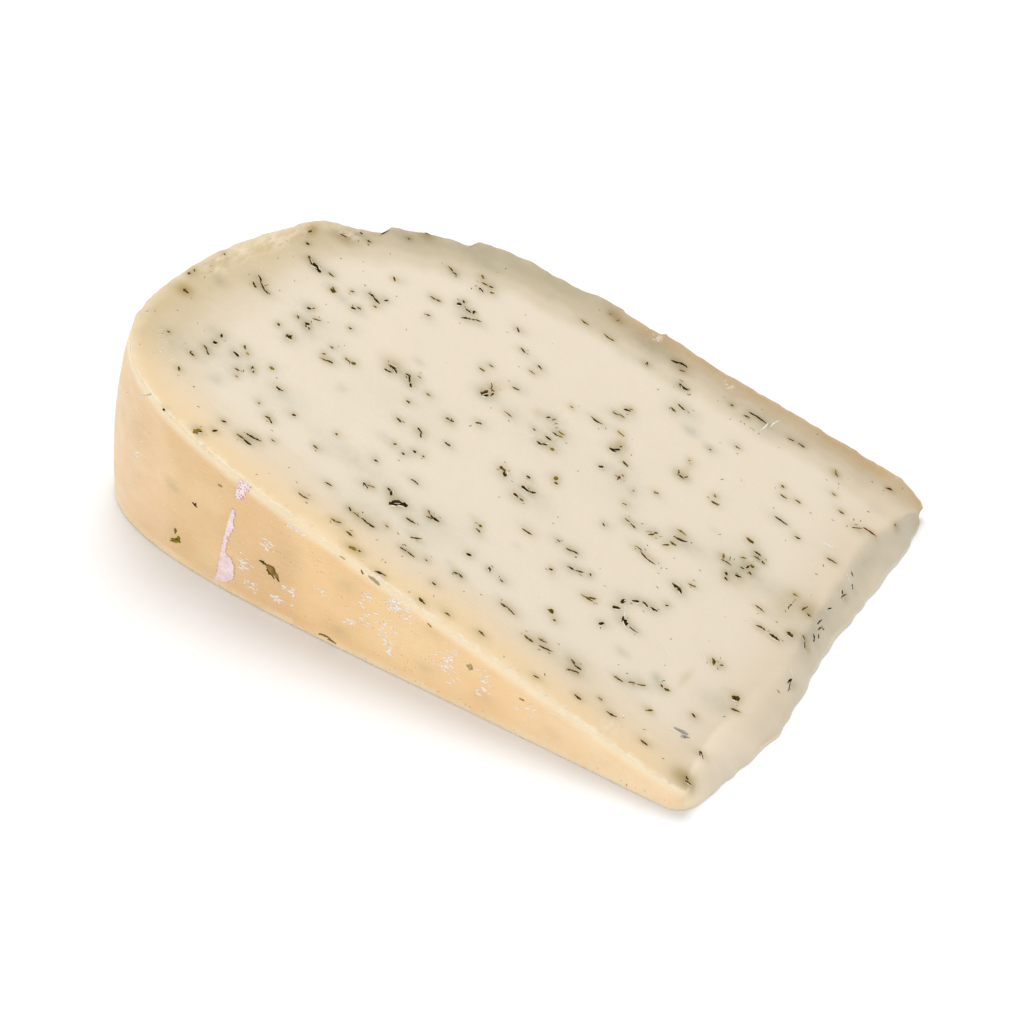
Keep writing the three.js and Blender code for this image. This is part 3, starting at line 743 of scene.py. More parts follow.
CLOSE_BY = 230
host = chance.choice(len(herb), CLOSE_BY, p=herb[:, 2] / herb[:, 2].sum())
spread = np.stack([0.55 * herb[host, 2] + 0.3, np.full(CLOSE_BY, 0.9)], axis=-1)
beside = herb[host, :2] + chance.normal(0, 1.0, (CLOSE_BY, 2)) * spread
beside = np.clip(beside, (31.0, -46.0), (171.0, 38.0))  # clear of all edges
herb_parts.append(slivers(
    on_cut(beside), *turned(herb[host, 4] + chance.normal(0, 40, CLOSE_BY), DOWN_SLOPE, ACROSS),
    chance.uniform(0.2, 0.8, CLOSE_BY), chance.uniform(0.12, 0.32, CLOSE_BY), upper & (to_rind > 0.8), 69,
))
herb_tints.append(sliver_tint(chance.choice(list("kboyyo"), CLOSE_BY), 70))

low_centre = np.minimum(place[lower_seed], (70.0, 60.0, 60.0))  # clear of the torn foot
herb_parts.append(slivers(
    low_centre, *turned(chance.normal(0, 22, LOWER_HERBS), ALONG, ACROSS),
    chance.uniform(0.8, 3.4, LOWER_HERBS), chance.uniform(0.3, 0.8, LOWER_HERBS), lower, 55, rise=0.0,
))
herb_tints.append(sliver_tint(chance.choice(list("kkbbooy"), LOWER_HERBS), 56))
print("slivers in the cuts:", len(herb) + SPRINKLED + CLOSE_BY + LOWER_HERBS)

# %% [markdown]
# ## Herbs on the rind, the torn point and the rim
# A herb at the rind was pressed flat against the mould, so on the front it is wider and browner.
# The back and the rim have herbs of no particular place, so theirs are only seeded.

# %% Herbs of the other sides
RIND_HERBS = [  # on the front rind: x, z, length, width, turn in degrees, kind
    (-26.8, 14.7, 2.0, 1.0, -10, "o"), (-24.5, 13.5, 3.6, 2.8, -35, "d"), (-25.0, 12.5, 2.6, 0.4, -38, "b"),
    (-23.2, 12.2, 1.5, 0.9, -60, "b"), (-51.2, 9.4, 1.8, 1.0, 80, "y"), (-50.6, 7.4, 2.2, 1.8, 70, "y"),
    (-51.8, 6.1, 2.2, 1.3, 8, "y"), (-52.6, 5.4, 1.6, 0.6, 30, "d"), (-51.0, 7.0, 1.0, 0.6, 20, "b"),
    (-44.7, 21.0, 1.5, 0.5, -30, "b"), (-44.6, 21.2, 1.2, 0.5, 60, "b"), (-37.1, 30.9, 1.0, 0.5, -10, "d"),
    (-11.6, 1.8, 3.2, 0.9, 4, "d"), (-9.8, 1.3, 2.2, 0.7, -4, "d"), (24.6, 13.7, 2.0, 1.6, 80, "g"),
    (1.6, 25.7, 3.0, 1.2, -24, "g"), (-1.2, 26.6, 1.1, 0.5, -60, "o"), (37.0, 11.5, 1.1, 0.4, -10, "d"),
    (15.0, 20.4, 1.2, 0.4, -35, "d"), (-6.0, 28.0, 1.2, 0.3, -20, "g"),
]
rind_herb = np.array([h[:5] for h in RIND_HERBS])
centre = np.stack([rind_herb[:, 0], np.full(len(rind_herb), FRONT_Y), rind_herb[:, 1]], axis=-1)
centre[:, 1] = place[front][((centre[:, None] - place[front][None]) ** 2).sum(-1).argmin(1), 1]
herb_parts.append(slivers(
    centre, *turned(rind_herb[:, 4], ALONG, UP), rind_herb[:, 2], rind_herb[:, 3], front, 57, rise=0.2,
))
herb_tints.append(sliver_tint([h[5] for h in RIND_HERBS], 58))

around = np.cross(normal[hidden_seed], UP)
around /= np.linalg.norm(around, axis=1)[:, None]
over = np.cross(normal[hidden_seed], around)
herb_parts.append(slivers(
    place[hidden_seed], *turned(chance.uniform(0, 180, len(hidden_seed)), around, over),
    chance.uniform(0.7, 2.4, len(hidden_seed)), chance.uniform(0.4, 1.1, len(hidden_seed)), hidden, 59,
))
herb_tints.append(sliver_tint(chance.choice(list("dogd"), len(hidden_seed)), 60))

TORN_HERBS = 11
below_brow = on_torn & (w > 0.55) & (w < 0.9) & (y > -16) & (y < 26)
pick = chance.choice(np.flatnonzero(below_brow), TORN_HERBS, replace=False)
over = np.cross(normal[pick], ACROSS)
over /= np.linalg.norm(over, axis=1)[:, None]
herb_parts.append(slivers(
    place[pick], *turned(chance.normal(0, 40, TORN_HERBS), ACROSS, over),
    chance.uniform(0.5, 2.2, TORN_HERBS), chance.uniform(0.25, 0.7, TORN_HERBS), on_torn, 61,
))
herb_tints.append(sliver_tint(chance.choice(list("kboyo"), TORN_HERBS), 62))


def joined(parts):
    """Points stacked, face numbers raised by the points that came before."""
    starts = np.cumsum([0] + [len(points) for points, _ in parts[:-1]])
    return np.vstack([points for points, _ in parts]), np.vstack([f + s for (_, f), s in zip(parts, starts)])


chip = np.array([(31.8, -38.0, 3.2, 1.0, 12), (30.4, -38.5, 1.8, 0.8, 20)])  # two halves of one hard chip
herb_parts.append(slivers(
    on_cut(chip), *turned(chip[:, 4], DOWN_SLOPE, ACROSS), chip[:, 2], chip[:, 3], near_top, 67, rise=0.16,
))
herb_tints.append(sliver_tint("cc", 68))

herb_points, herb_faces = joined(herb_parts)
herbs = make_piece("herb_flakes", herb_points, herb_faces, {"herb_tint": np.vstack(herb_tints)})
print("herb slivers:", len(herb_points) // (4 * RINGS), "with", 2 * len(herb_faces), "triangles")

# %% [markdown]
# ## Torn paste beside the thick flakes
# The knife drags a thick flake along, and a pale lip of paste stands up beside the hole. Each lip
# is the same sliver shape, one step to the side of its flake, in the colour of fresh paste. That
# colour is whiter than the cut: partly the torn paste, partly a painted highlight along the lip.

# %% Pale lips and crumbs
wide = herb[:, 3] > 0.55
wide &= np.array([kind in "kbr" for kind in kinds])
side_sign = np.where(chance.uniform(size=wide.sum()) < 0.8, -1.0, 1.0)[:, None]
shift = side_sign * (herb[wide, 3:4] * 0.62) * ACROSS + chance.uniform(0.1, 0.5, (wide.sum(), 1)) * DOWN_SLOPE
lip_parts = [slivers(
    upper_centre[wide] + shift, upper_run[wide], upper_side[wide],
    0.8 * herb[wide, 2], 0.32 * herb[wide, 3] + 0.05, near_top, 63, rise=0.14, keel=0.1,
)]
CRUMBS = [  # rho, y, how many, spread along and across
    (71.4, 44.6, 6, 1.2, 0.8), (90.3, 44.2, 5, 1.0, 0.6), (165.3, -34.3, 4, 0.8, 0.6),
    (168.0, 0.0, 8, 2.6, 9.0), (150.0, -48.6, 6, 9.0, 0.8), (60.0, -49.6, 8, 26.0, 0.4),
    (120.0, -49.3, 10, 24.0, 0.5), (43.0, -46.0, 6, 5.0, 3.0),
]
crumb_at = np.vstack([
    np.stack([chance.normal(r, along_, many), chance.normal(y_, across_, many)], axis=-1)
    for r, y_, many, along_, across_ in CRUMBS
])
crumb_at[:, 1] = np.clip(crumb_at[:, 1], -50.0, 46.0)
lip_parts.append(slivers(
    on_cut(crumb_at), *turned(chance.uniform(0, 180, len(crumb_at)), DOWN_SLOPE, ACROSS),
    chance.uniform(0.3, 0.9, len(crumb_at)), chance.uniform(0.2, 0.5, len(crumb_at)), near_top, 64,
    rise=0.16, keel=0.1,
))
SCRATCHES = [  # rho, y, length, width, turn in degrees
    (168.0, -31.6, 2.2, 0.16, 60), (168.9, -30.9, 2.6, 0.16, 60), (167.1, -32.2, 1.8, 0.14, 58),
    (166.3, -32.6, 1.4, 0.14, 57), (162.5, -35.5, 2.5, 0.2, 64), (58.6, 42.8, 3.2, 0.5, 82),
    (60.0, 40.6, 3.4, 0.4, 86), (56.0, -22.0, 4.6, 0.18, -60), (52.4, -24.6, 5.0, 0.2, 10),
    (46.0, -23.4, 8.0, 0.18, -20), (38.4, -19.4, 7.0, 0.18, -38), (88.0, 9.6, 9.0, 0.2, 18),
    (97.0, 2.0, 8.0, 0.18, 20), (33.0, 23.2, 3.4, 0.5, 10), (22.8, 15.0, 4.4, 0.22, -27),
    (24.0, 20.0, 3.8, 0.18, -8), (21.5, -2.0, 3.6, 0.2, -14), (20.6, -9.0, 3.4, 0.2, -20),
    (32.4, -38.7, 3.4, 0.3, 12), (30.6, -37.2, 2.6, 0.24, 14),
]
scratch = np.array(SCRATCHES)
lip_parts.append(slivers(
    on_cut(scratch), *turned(scratch[:, 4], DOWN_SLOPE, ACROSS),
    scratch[:, 2], scratch[:, 3], near_top, 66, rise=0.05, keel=0.1,
))
lip_points, lip_faces = joined(lip_parts)
lips = make_piece("torn_paste", lip_points, lip_faces)
print("lips and crumbs:", len(lip_points) // (4 * RINGS))

# %% [markdown]
# ## White wax on the front rind
# Cloth left small white strokes where the wax coat caught in its weave. They stand in patches,
# and each stroke lies along the thread, so they are slivers too, level with the resting edge.

# %% Flecks of wax
WAX_PATCHES = [  # x, z, how many, spread along and up
    (-32.0, 11.8, 16, 1.5, 1.3), (-25.9, 20.8, 13, 0.8, 1.7), (-30.1, 6.4, 15, 1.4, 1.2),
    (-24.3, 6.1, 9, 1.8, 0.8), (-19.1, 10.5, 8, 1.4, 0.9), (-12.2, 15.1, 7, 0.8, 0.8),
    (-0.2, 16.2, 24, 1.5, 3.2), (7.1, 20.7, 42, 2.0, 1.5), (4.5, 12.5, 9, 1.0, 1.8),
    (4.6, 8.2, 18, 1.0, 2.2), (-4.6, 10.2, 9, 0.8, 0.7), (-16.9, 29.5, 9, 1.4, 0.6),
    (19.5, 12.2, 36, 1.3, 2.5), (28.2, 10.8, 17, 1.0, 2.3), (40.0, 10.0, 6, 3.0, 2.0),
    (-62.0, 24.0, 6, 4.0, 8.0),
]
wax_at = np.vstack([
    np.stack([chance.normal(x, wide_, many), np.full(many, FRONT_Y), chance.normal(z, high_, many)], axis=-1)
    for x, z, many, wide_, high_ in WAX_PATCHES
])
EDGE_ROOM = 1.5
rind_height = (axis_x - wax_at[:, 0]) * math.tan(cut_angle)
wax_at = wax_at[(wax_at[:, 2] > EDGE_ROOM) & (wax_at[:, 2] < rind_height - EDGE_ROOM)]
wax_points, wax_faces = slivers(
    wax_at, *turned(chance.normal(8, 24, len(wax_at)), ALONG, UP),
    chance.uniform(0.4, 1.7, len(wax_at)), chance.uniform(0.26, 0.72, len(wax_at)), front, 65,
    rise=0.09, keel=0.08,
)
wax = make_piece("wax_flecks", wax_points, wax_faces)
print("wax flecks:", len(wax_at))

# %% [markdown]
# ## A scrap of the old wrapper
# A torn strip of pinkish tissue still sticks to the front rind, with a smaller bit above it. Paper
# has a real thickness and a ragged edge that lifts a little, so it is a thin closed sheet: rows of
# points between a left and a right edge, laid on the skin twice, once just above and once below.

# %% Strip of wrapper
def stuck_sheet(left, right, rows, columns, seed):
    """A sheet between two edge lines of (x, z) knots, torn along both edges, on the front rind."""
    rng = np.random.default_rng(seed)
    share = np.linspace(0, 1, rows)
    left, right = along(np.array(left, dtype=float), share), along(np.array(right, dtype=float), share)
    left[:, 0] += rng.uniform(-0.12, 0.12, rows)
    right[:, 0] += rng.uniform(-0.3, 0.3, rows)
    across = np.linspace(0, 1, columns)[None, :, None]
    flat = left[:, None] + (right - left)[:, None] * across
    grid = np.stack([flat[..., 0], np.full(flat.shape[:2], FRONT_Y), flat[..., 1]], axis=-1)
    grid, out = settle(grid, front)
    lift = 0.07 + 0.10 * np.abs(2 * across - 1) ** 3 + rng.uniform(0, 0.05, (rows, columns, 1))
    top, under = grid + out * lift, grid - out * 0.12
    ids = np.arange(2 * rows * columns).reshape(2, rows, columns)
    top_faces, under_faces = side_quads(ids[0])[:, ::-1], side_quads(ids[1])
    rim_top = np.concatenate([ids[0, 0, :-1], ids[0, :-1, -1], ids[0, -1, :0:-1], ids[0, :0:-1, 0]])
    rim_under = rim_top + rows * columns
    walls = np.stack([rim_under, np.roll(rim_under, -1), np.roll(rim_top, -1), rim_top], axis=-1)
    return np.vstack([top.reshape(-1, 3), under.reshape(-1, 3)]), np.vstack([top_faces, under_faces, walls])


strip = stuck_sheet(
    [(-34.1, 26.4), (-35.6, 21.8), (-36.9, 16.9), (-38.1, 12.0), (-39.5, 6.2), (-40.8, 1.4)],
    [
        (-33.5, 25.6), (-34.2, 20.4), (-35.8, 17.1), (-36.8, 11.9),
        (-35.3, 11.0), (-34.8, 8.8), (-35.1, 5.6), (-37.2, 3.0),
    ],
    66, 10, 71,
)
patch = stuck_sheet(
    [(-31.6, 36.0), (-32.7, 32.3), (-33.2, 29.6)],
    [(-28.7, 35.7), (-29.9, 33.1), (-31.5, 30.3)],
    20, 9, 72,
)
scrap_points, scrap_faces = joined([strip, patch])
scrap = make_piece("wrapper_scrap", scrap_points, scrap_faces)
for piece in (herbs, lips, wax, scrap):
    print(piece.name, "encloses", round(enclosed_volume(
        np.array([v.co[:] for v in piece.data.vertices]) / MM,
        np.array([p.vertices[:] for p in piece.data.polygons])), 2), "mm3")

# %% [markdown]
# ## Effects shared by the materials
# Mottling, fine grain, scattered specks and edge wear belong to more than one surface, so each is
# a node group with named inputs. A group only puts out a value; each material decides what the
# value does to its colour, its gloss or its relief. All of them read the piece's own coordinates,
# in millimetres, so they stay put when the piece is moved.

# %% Node helpers
def add(tree, kind, sockets=None, **settings):
    """Adds a node, sets its properties, and links or sets the sockets that are named."""
    new = tree.nodes.new(kind)
    for key, value in settings.items():
        setattr(new, key, value)
    for key, value in (sockets or {}).items():
        if isinstance(value, bpy.types.NodeSocket):
            tree.links.new(value, new.inputs[key])
        else:
            new.inputs[key].default_value = value
    return new


def calc(tree, operation, a, b=0.0, clamp=False):
    """One sum on two values."""
    return add(tree, "ShaderNodeMath", {0: a, 1: b}, operation=operation, use_clamp=clamp).outputs[0]


def times(tree, a, b):
    """The product of two values: a mask within a mask, or a weaker one."""
    return calc(tree, "MULTIPLY", a, b)


def span(tree, value, low, high, to_low=0.0, to_high=1.0):
    """Eased share of a value between low and high, spread over the new range."""
    return add(tree, "ShaderNodeMapRange", {
        "Value": value, "From Min": low, "From Max": high, "To Min": to_low, "To Max": to_high,
    }, interpolation_type="SMOOTHSTEP").outputs["Result"]


def blend(tree, share, a, b):
    """Colour a where the share is 0, colour b where it is 1."""
    return add(tree, "ShaderNodeMix", {0: share, 6: a, 7: b}, data_type="RGBA").outputs[2]


def glaze(tree, colour, mask, strength, coat):
    """The colour under a coat of another one that is as strong as its mask says."""
    return blend(tree, times(tree, mask, strength), colour, coat)


def stain(tree, share, colour, filter_colour):
    """The colour seen through a filter, by a share from 0 to 1."""
    sockets = {0: share, 6: colour, 7: filter_colour}
    return add(tree, "ShaderNodeMix", sockets, data_type="RGBA", blend_type="MULTIPLY").outputs[2]


def value_of(tree, name):
    """A value that the mesh carries at its points."""
    return add(tree, "ShaderNodeAttribute", attribute_name=name).outputs["Fac"]


def place_mm(tree, stretch=(1.0, 1.0, 1.0)):
    """The piece's own coordinates in millimetres, stretched if an effect has a direction."""
    own = add(tree, "ShaderNodeTexCoord").outputs["Object"]
    scale = tuple(s / MM for s in stretch)
    return add(tree, "ShaderNodeVectorMath", {0: own, 1: scale}, operation="MULTIPLY").outputs[0]


def noise(tree, vector, scale, detail=2.0, roughness=0.5):
    """Smooth noise around 0.5."""
    return add(tree, "ShaderNodeTexNoise", {
        "Vector": vector, "Scale": scale, "Detail": detail, "Roughness": roughness,
    }).outputs["Fac"]


def colours_along(tree, value, reach, stops):
    """Colours at distances in mm, eased between, for a value from 0 to reach."""
    share = calc(tree, "DIVIDE", value, reach, clamp=True)
    ramp = add(tree, "ShaderNodeValToRGB", {0: share})
    ramp.color_ramp.interpolation = "EASE"
    elements = ramp.color_ramp.elements
    for n, (at, colour) in enumerate(stops):
        element = elements[n] if n < 2 else elements.new(at / reach)
        element.position, element.color = at / reach, colour
    return ramp.outputs["Color"]


def effect(name, inputs, output="Mask"):
    """An empty node group with named number inputs and one output."""
    tree = bpy.data.node_groups.new(name, "ShaderNodeTree")
    for label, value in inputs.items():
        socket = tree.interface.new_socket(name=label, in_out="INPUT", socket_type="NodeSocketFloat")
        socket.default_value = value
    tree.interface.new_socket(name=output, in_out="OUTPUT", socket_type="NodeSocketFloat")
    return tree, add(tree, "NodeGroupInput").outputs, add(tree, "NodeGroupOutput")


def use(tree, group, **inputs):
    """Places a group in a tree with its inputs set; gives its output."""
    new = add(tree, "ShaderNodeGroup", node_tree=group)
    for label, value in inputs.items():
        new.inputs[label].default_value = value
    return new.outputs[0]


# %% Mottle: slow, cloudy changes
mottle, given, out = effect("mottle", {"Size": 10.0, "Contrast": 1.0})
cloud_place = place_mm(mottle)
cloud = noise(mottle, cloud_place, calc(mottle, "DIVIDE", 1.0, given["Size"]), detail=3.0, roughness=0.55)
swing = times(mottle, calc(mottle, "SUBTRACT", cloud, 0.5), given["Contrast"])
mottle.links.new(calc(mottle, "ADD", swing, 0.5, clamp=True), out.inputs[0])

# %% Fine grain: the small relief of pressed curd, wax, leaf or paper
grain, given, out = effect("fine_grain", {"Size": 0.6, "Roughness": 0.6}, "Height")
fine = noise(grain, place_mm(grain), calc(grain, "DIVIDE", 1.0, given["Size"]), detail=4.0)
soft = noise(grain, place_mm(grain), calc(grain, "DIVIDE", 0.22, given["Size"]), detail=1.0)
part = times(grain, fine, given["Roughness"])
grain.links.new(calc(grain, "ADD", part, soft), out.inputs[0])

# %% Specks: a random share of the cells of a Voronoi pattern holds a small dot
specks, given, out = effect("specks", {"Cell": 1.5, "Radius": 0.2, "Share": 0.3})
own = place_mm(specks)
wobble = add(specks, "ShaderNodeTexNoise", {"Vector": own, "Scale": 3.0}).outputs["Color"]
wobbled = add(specks, "ShaderNodeVectorMath", {
    0: wobble, 1: (0.22, 0.22, 0.22), 2: own,
}, operation="MULTIPLY_ADD")
cells = add(specks, "ShaderNodeTexVoronoi", {
    "Vector": wobbled.outputs[0], "Scale": calc(specks, "DIVIDE", 1.0, given["Cell"]),
})
radius = calc(specks, "DIVIDE", given["Radius"], given["Cell"])
inside = span(specks, cells.outputs["Distance"], radius, times(specks, radius, 0.45))
luck = add(specks, "ShaderNodeSeparateColor", {0: cells.outputs["Color"]}).outputs["Red"]
chosen = calc(specks, "LESS_THAN", luck, given["Share"])
specks.links.new(times(specks, inside, chosen), out.inputs[0])

# %% Edge wear: a band beside the knife's edges that swells and thins
wear, given, out = effect("edge_wear", {"Reach": 1.2, "Raggedness": 0.7})
ragged = times(wear, calc(wear, "SUBTRACT", noise(wear, place_mm(wear), 0.6, 4.0, 0.7), 0.42), 4.0)
reach = calc(wear, "MULTIPLY_ADD", ragged, given["Raggedness"])
reach.node.inputs[2].default_value = 1.0
reach = calc(wear, "MAXIMUM", times(wear, reach, given["Reach"]), 0.05)
near = span(wear, value_of(wear, "to_edge"), reach, times(wear, reach, 0.35))
wear.links.new(near, out.inputs[0])

# %% Cloth lines: what is left of the cheese cloth, threads along the rind crossed by weaker ones
cloth, given, out = effect("cloth_lines", {"Pitch": 0.62, "Waver": 1.5}, "Height")
axes = add(cloth, "ShaderNodeSeparateXYZ", {0: place_mm(cloth)}).outputs
drift = times(cloth, noise(cloth, place_mm(cloth, (0.4, 0.4, 1.0)), 0.35, 2.0), given["Waver"])
phase = calc(cloth, "ADD", calc(cloth, "DIVIDE", axes["Z"], given["Pitch"]), drift)
thread = calc(cloth, "SINE", times(cloth, phase, 2 * math.pi))
cross = calc(cloth, "SINE", times(cloth, calc(cloth, "DIVIDE", axes["X"], given["Pitch"]), 2 * math.pi))
weave = calc(cloth, "ADD", times(cloth, thread, 0.35), times(cloth, cross, 0.12))
left_bare = use(cloth, mottle, Size=7.0, Contrast=3.2)
shown = times(cloth, weave, left_bare)
cloth.links.new(calc(cloth, "ADD", shown, 0.5), out.inputs[0])
print("effects:", [group.name for group in bpy.data.node_groups])


# %% A material with its shader ready
def surface(name, roughness, subsurface=0.0, reach_mm=1.0):
    """A new material: gloss and scattering are constants on the shader's own sockets."""
    material = bpy.data.materials.new(name)
    material.use_nodes = True
    tree = material.node_tree
    shader = tree.nodes["Principled BSDF"]
    shader.inputs["Roughness"].default_value = roughness
    shader.inputs["IOR"].default_value = 1.42
    shader.inputs["Subsurface Weight"].default_value = subsurface
    shader.inputs["Subsurface Radius"].default_value = (1.0, 0.62, 0.32)
    shader.inputs["Subsurface Scale"].default_value = reach_mm * MM
    return material, tree, shader


def relief(tree, shader, height, depth_mm, strength=1.0):
    """Bump from a height of 0 to 1, so many mm deep."""
    bump = add(tree, "ShaderNodeBump", {"Height": height, "Distance": depth_mm * MM, "Strength": strength})
    tree.links.new(bump.outputs[0], shader.inputs["Normal"])


# %% [markdown]
# ## The paste
# Paste is ivory in the middle. Towards the rind it dried and turned amber at the front, and a
# greyer brown at the back and the rim, where the wheel's skin is thicker. So the colour follows
# the distance to the rind, which the skin carries. On it lie, coat by coat, a painted shade on the
# torn point, darker and greyer where its face turns from the cut, a faint mottle so that no stretch
# is flat, the haze of the buried herbs, and the pale edges that the knife and the hand scraped.

# %% Paste material
PASTE = paint(228, 214, 192)
paste, tree, shader = surface("herb_paste", 0.46, subsurface=0.12, reach_mm=2.0)
depth = value_of(tree, "to_rind")
ragged_depth = calc(tree, "ADD", depth, times(tree, calc(tree, "SUBTRACT", use(
    tree, mottle, Size=14.0, Contrast=1.6), 0.5), 5.0))
amber = colours_along(tree, ragged_depth, 20.0, [
    (0.0, paint(238, 211, 168)), (20.0, PASTE), (2.5, paint(233, 204, 156)), (4.5, paint(231, 205, 164)),
    (7.5, paint(226, 205, 173)), (10.5, paint(225, 208, 181)), (14.0, PASTE),
])
brown = colours_along(tree, ragged_depth, 20.0, [
    (0.0, paint(188, 157, 106)), (20.0, PASTE), (1.7, paint(184, 157, 112)), (3.6, paint(187, 166, 130)),
    (5.6, paint(198, 181, 152)), (8.2, paint(212, 197, 170)), (12.5, PASTE),
])
olive = colours_along(tree, ragged_depth, 20.0, [
    (0.0, paint(178, 164, 128)), (20.0, PASTE), (2.2, paint(175, 162, 129)), (5.0, paint(190, 175, 143)),
    (8.5, paint(209, 194, 166)), (13.0, PASTE),
])
dusty = colours_along(tree, ragged_depth, 27.0, [
    (0.0, paint(219, 199, 160)), (27.0, PASTE), (3.0, paint(200, 178, 134)), (8.0, paint(203, 183, 145)),
    (14.0, paint(211, 194, 163)), (20.0, paint(222, 207, 182)),
])
axes = add(tree, "ShaderNodeSeparateXYZ", {0: place_mm(tree)}).outputs
behind = blend(tree, span(tree, axes["X"], 12.0, -10.0), brown, olive)
side_colour = blend(tree, span(tree, axes["Y"], -5.0, 12.0), amber, behind)
at_rim = span(tree, axes["X"], -44.0, -66.0)
at_rim = times(tree, at_rim, span(tree, axes["Y"], -46.0, -28.0))
colour = blend(tree, at_rim, side_colour, dusty)
tip = times(tree, span(tree, value_of(tree, "to_point"), 14.0, 0.0), 0.6)
colour = blend(tree, tip, colour, paint(216, 197, 168))
# Painted shade on the torn point: darker and greyer the more its face turns from the cut.
torn_shade = value_of(tree, "torn")
colour = glaze(tree, colour, torn_shade, 0.85, paint(200, 190, 166))
foot_line = times(tree, torn_shade, span(tree, axes["Z"], 1.1, 0.4))
colour = glaze(tree, colour, foot_line, 0.6, paint(240, 232, 222))
colour = glaze(tree, colour, value_of(tree, "blunt"), 0.75, paint(186, 156, 110))
rolled_down = span(tree, value_of(tree, "to_point"), 1.4, 0.1)
pale = times(tree, rolled_down, span(tree, axes["Y"], -16.0, -36.0))
colour = glaze(tree, colour, pale, 0.7, paint(242, 225, 200))
worn = times(tree, rolled_down, span(tree, axes["Y"], -40.0, -49.0))
colour = glaze(tree, colour, worn, 0.95, paint(255, 236, 202))
clouds = use(tree, mottle, Size=9.0, Contrast=1.3)
colour = glaze(tree, colour, clouds, 0.30, paint(219, 206, 185))
patchy = span(tree, use(tree, mottle, Size=2.2, Contrast=2.0), 0.0, 1.0, 0.65, 1.1)
grey = calc(tree, "MULTIPLY", value_of(tree, "cool_haze"), patchy, clamp=True)
colour = stain(tree, grey, colour, (0.66, 0.71, 0.69, 1.0))
colour = stain(tree, value_of(tree, "green_haze"), colour, (0.66, 0.56, 0.33, 1.0))
dots = times(tree, use(tree, specks, Cell=2.6, Radius=0.13, Share=0.16), 0.65)
colour = blend(tree, dots, colour, paint(120, 110, 76))
frayed = use(tree, wear, Reach=0.8, Raggedness=1.2)
scraped = times(tree, frayed, span(tree, axes["Y"], -34.0, -44.0, 0.1, 0.8))
scraped = times(tree, scraped, span(tree, use(tree, mottle, Size=5.0, Contrast=3.0), 0.2, 0.7, 0.25, 1.0))
streaks = noise(tree, place_mm(tree, (0.8, 0.35, 0.8)), 1.1, 4.0)
rubbed = times(tree, value_of(tree, "scuffed"), span(tree, streaks, 0.40, 0.66))
scraped = calc(tree, "MAXIMUM", scraped, times(tree, rubbed, 0.6))
colour = blend(tree, scraped, colour, paint(240, 226, 200))
tree.links.new(colour, shader.inputs["Base Color"])
gloss = span(tree, use(tree, mottle, Size=5.0, Contrast=2.0), 0.0, 1.0, 0.38, 0.54)
tree.links.new(calc(tree, "ADD", gloss, times(tree, scraped, 0.2)), shader.inputs["Roughness"])
curd = use(tree, grain, Size=0.55, Roughness=0.5)
strokes = noise(tree, place_mm(tree, (0.05, 1.0, 0.05)), 1.1, 3.0)
height = calc(tree, "ADD", times(tree, curd, 0.5), times(tree, strokes, 0.5))
relief(tree, shader, height, 0.14)
print(paste.name, "has", len(tree.nodes), "nodes")

# %% [markdown]
# ## The rind
# The front rind is warm amber under a thin coat of wax, with the cloth's threads pressed in, brown
# dots of old skin in the middle, herbs that shine through and a paler, scraped edge. It is a
# little duller towards the rim and paler towards the point. Along its foot it is painted lighter:
# a painted glow of the light that the white card throws up.

# %% Rind material
rind, tree, shader = surface("waxed_rind", 0.5, subsurface=0.08, reach_mm=1.5)
axes = add(tree, "ShaderNodeSeparateXYZ", {0: place_mm(tree)}).outputs
from_rim = calc(tree, "ADD", axes["X"], 82.0)
amber = colours_along(tree, from_rim, 165.0, [
    (0.0, paint(239, 216, 186)), (165.0, paint(249, 224, 186)), (26.0, paint(237, 208, 167)),
    (34.0, paint(231, 199, 149)), (58.0, paint(233, 197, 148)), (68.0, paint(246, 211, 158)),
    (112.0, paint(248, 213, 162)), (128.0, paint(250, 221, 179)),
])
behind = span(tree, axes["Y"], -44.0, 20.0)
colour = blend(tree, behind, amber, paint(214, 182, 136))
clouds = use(tree, mottle, Size=8.0, Contrast=2.4)
colour = glaze(tree, colour, clouds, 0.34, paint(240, 190, 136))
light_clouds = use(tree, mottle, Size=17.0, Contrast=1.8)
colour = glaze(tree, colour, span(tree, light_clouds, 0.4, 1.0), 0.45, paint(250, 225, 178))
colour = glaze(tree, colour, value_of(tree, "cool_haze"), 0.62, paint(190, 168, 122))
middle = times(tree, span(tree, axes["X"], -44.0, -16.0), span(tree, axes["X"], 34.0, 4.0))
middle = times(tree, middle, span(tree, axes["Y"], -40.0, -46.0))
middle = times(tree, middle, span(tree, use(tree, mottle, Size=5.5, Contrast=3.0), 0.3, 0.75))
brown_dots = times(tree, use(tree, specks, Cell=0.85, Radius=0.17, Share=0.5), middle)
colour = glaze(tree, colour, brown_dots, 0.9, paint(150, 88, 50))
rare_dots = use(tree, specks, Cell=2.4, Radius=0.2, Share=0.3)
colour = glaze(tree, colour, rare_dots, 0.6, paint(150, 112, 70))
wax_dots = use(tree, specks, Cell=1.7, Radius=0.2, Share=0.28)
colour = glaze(tree, colour, wax_dots, 0.75, paint(253, 240, 222))
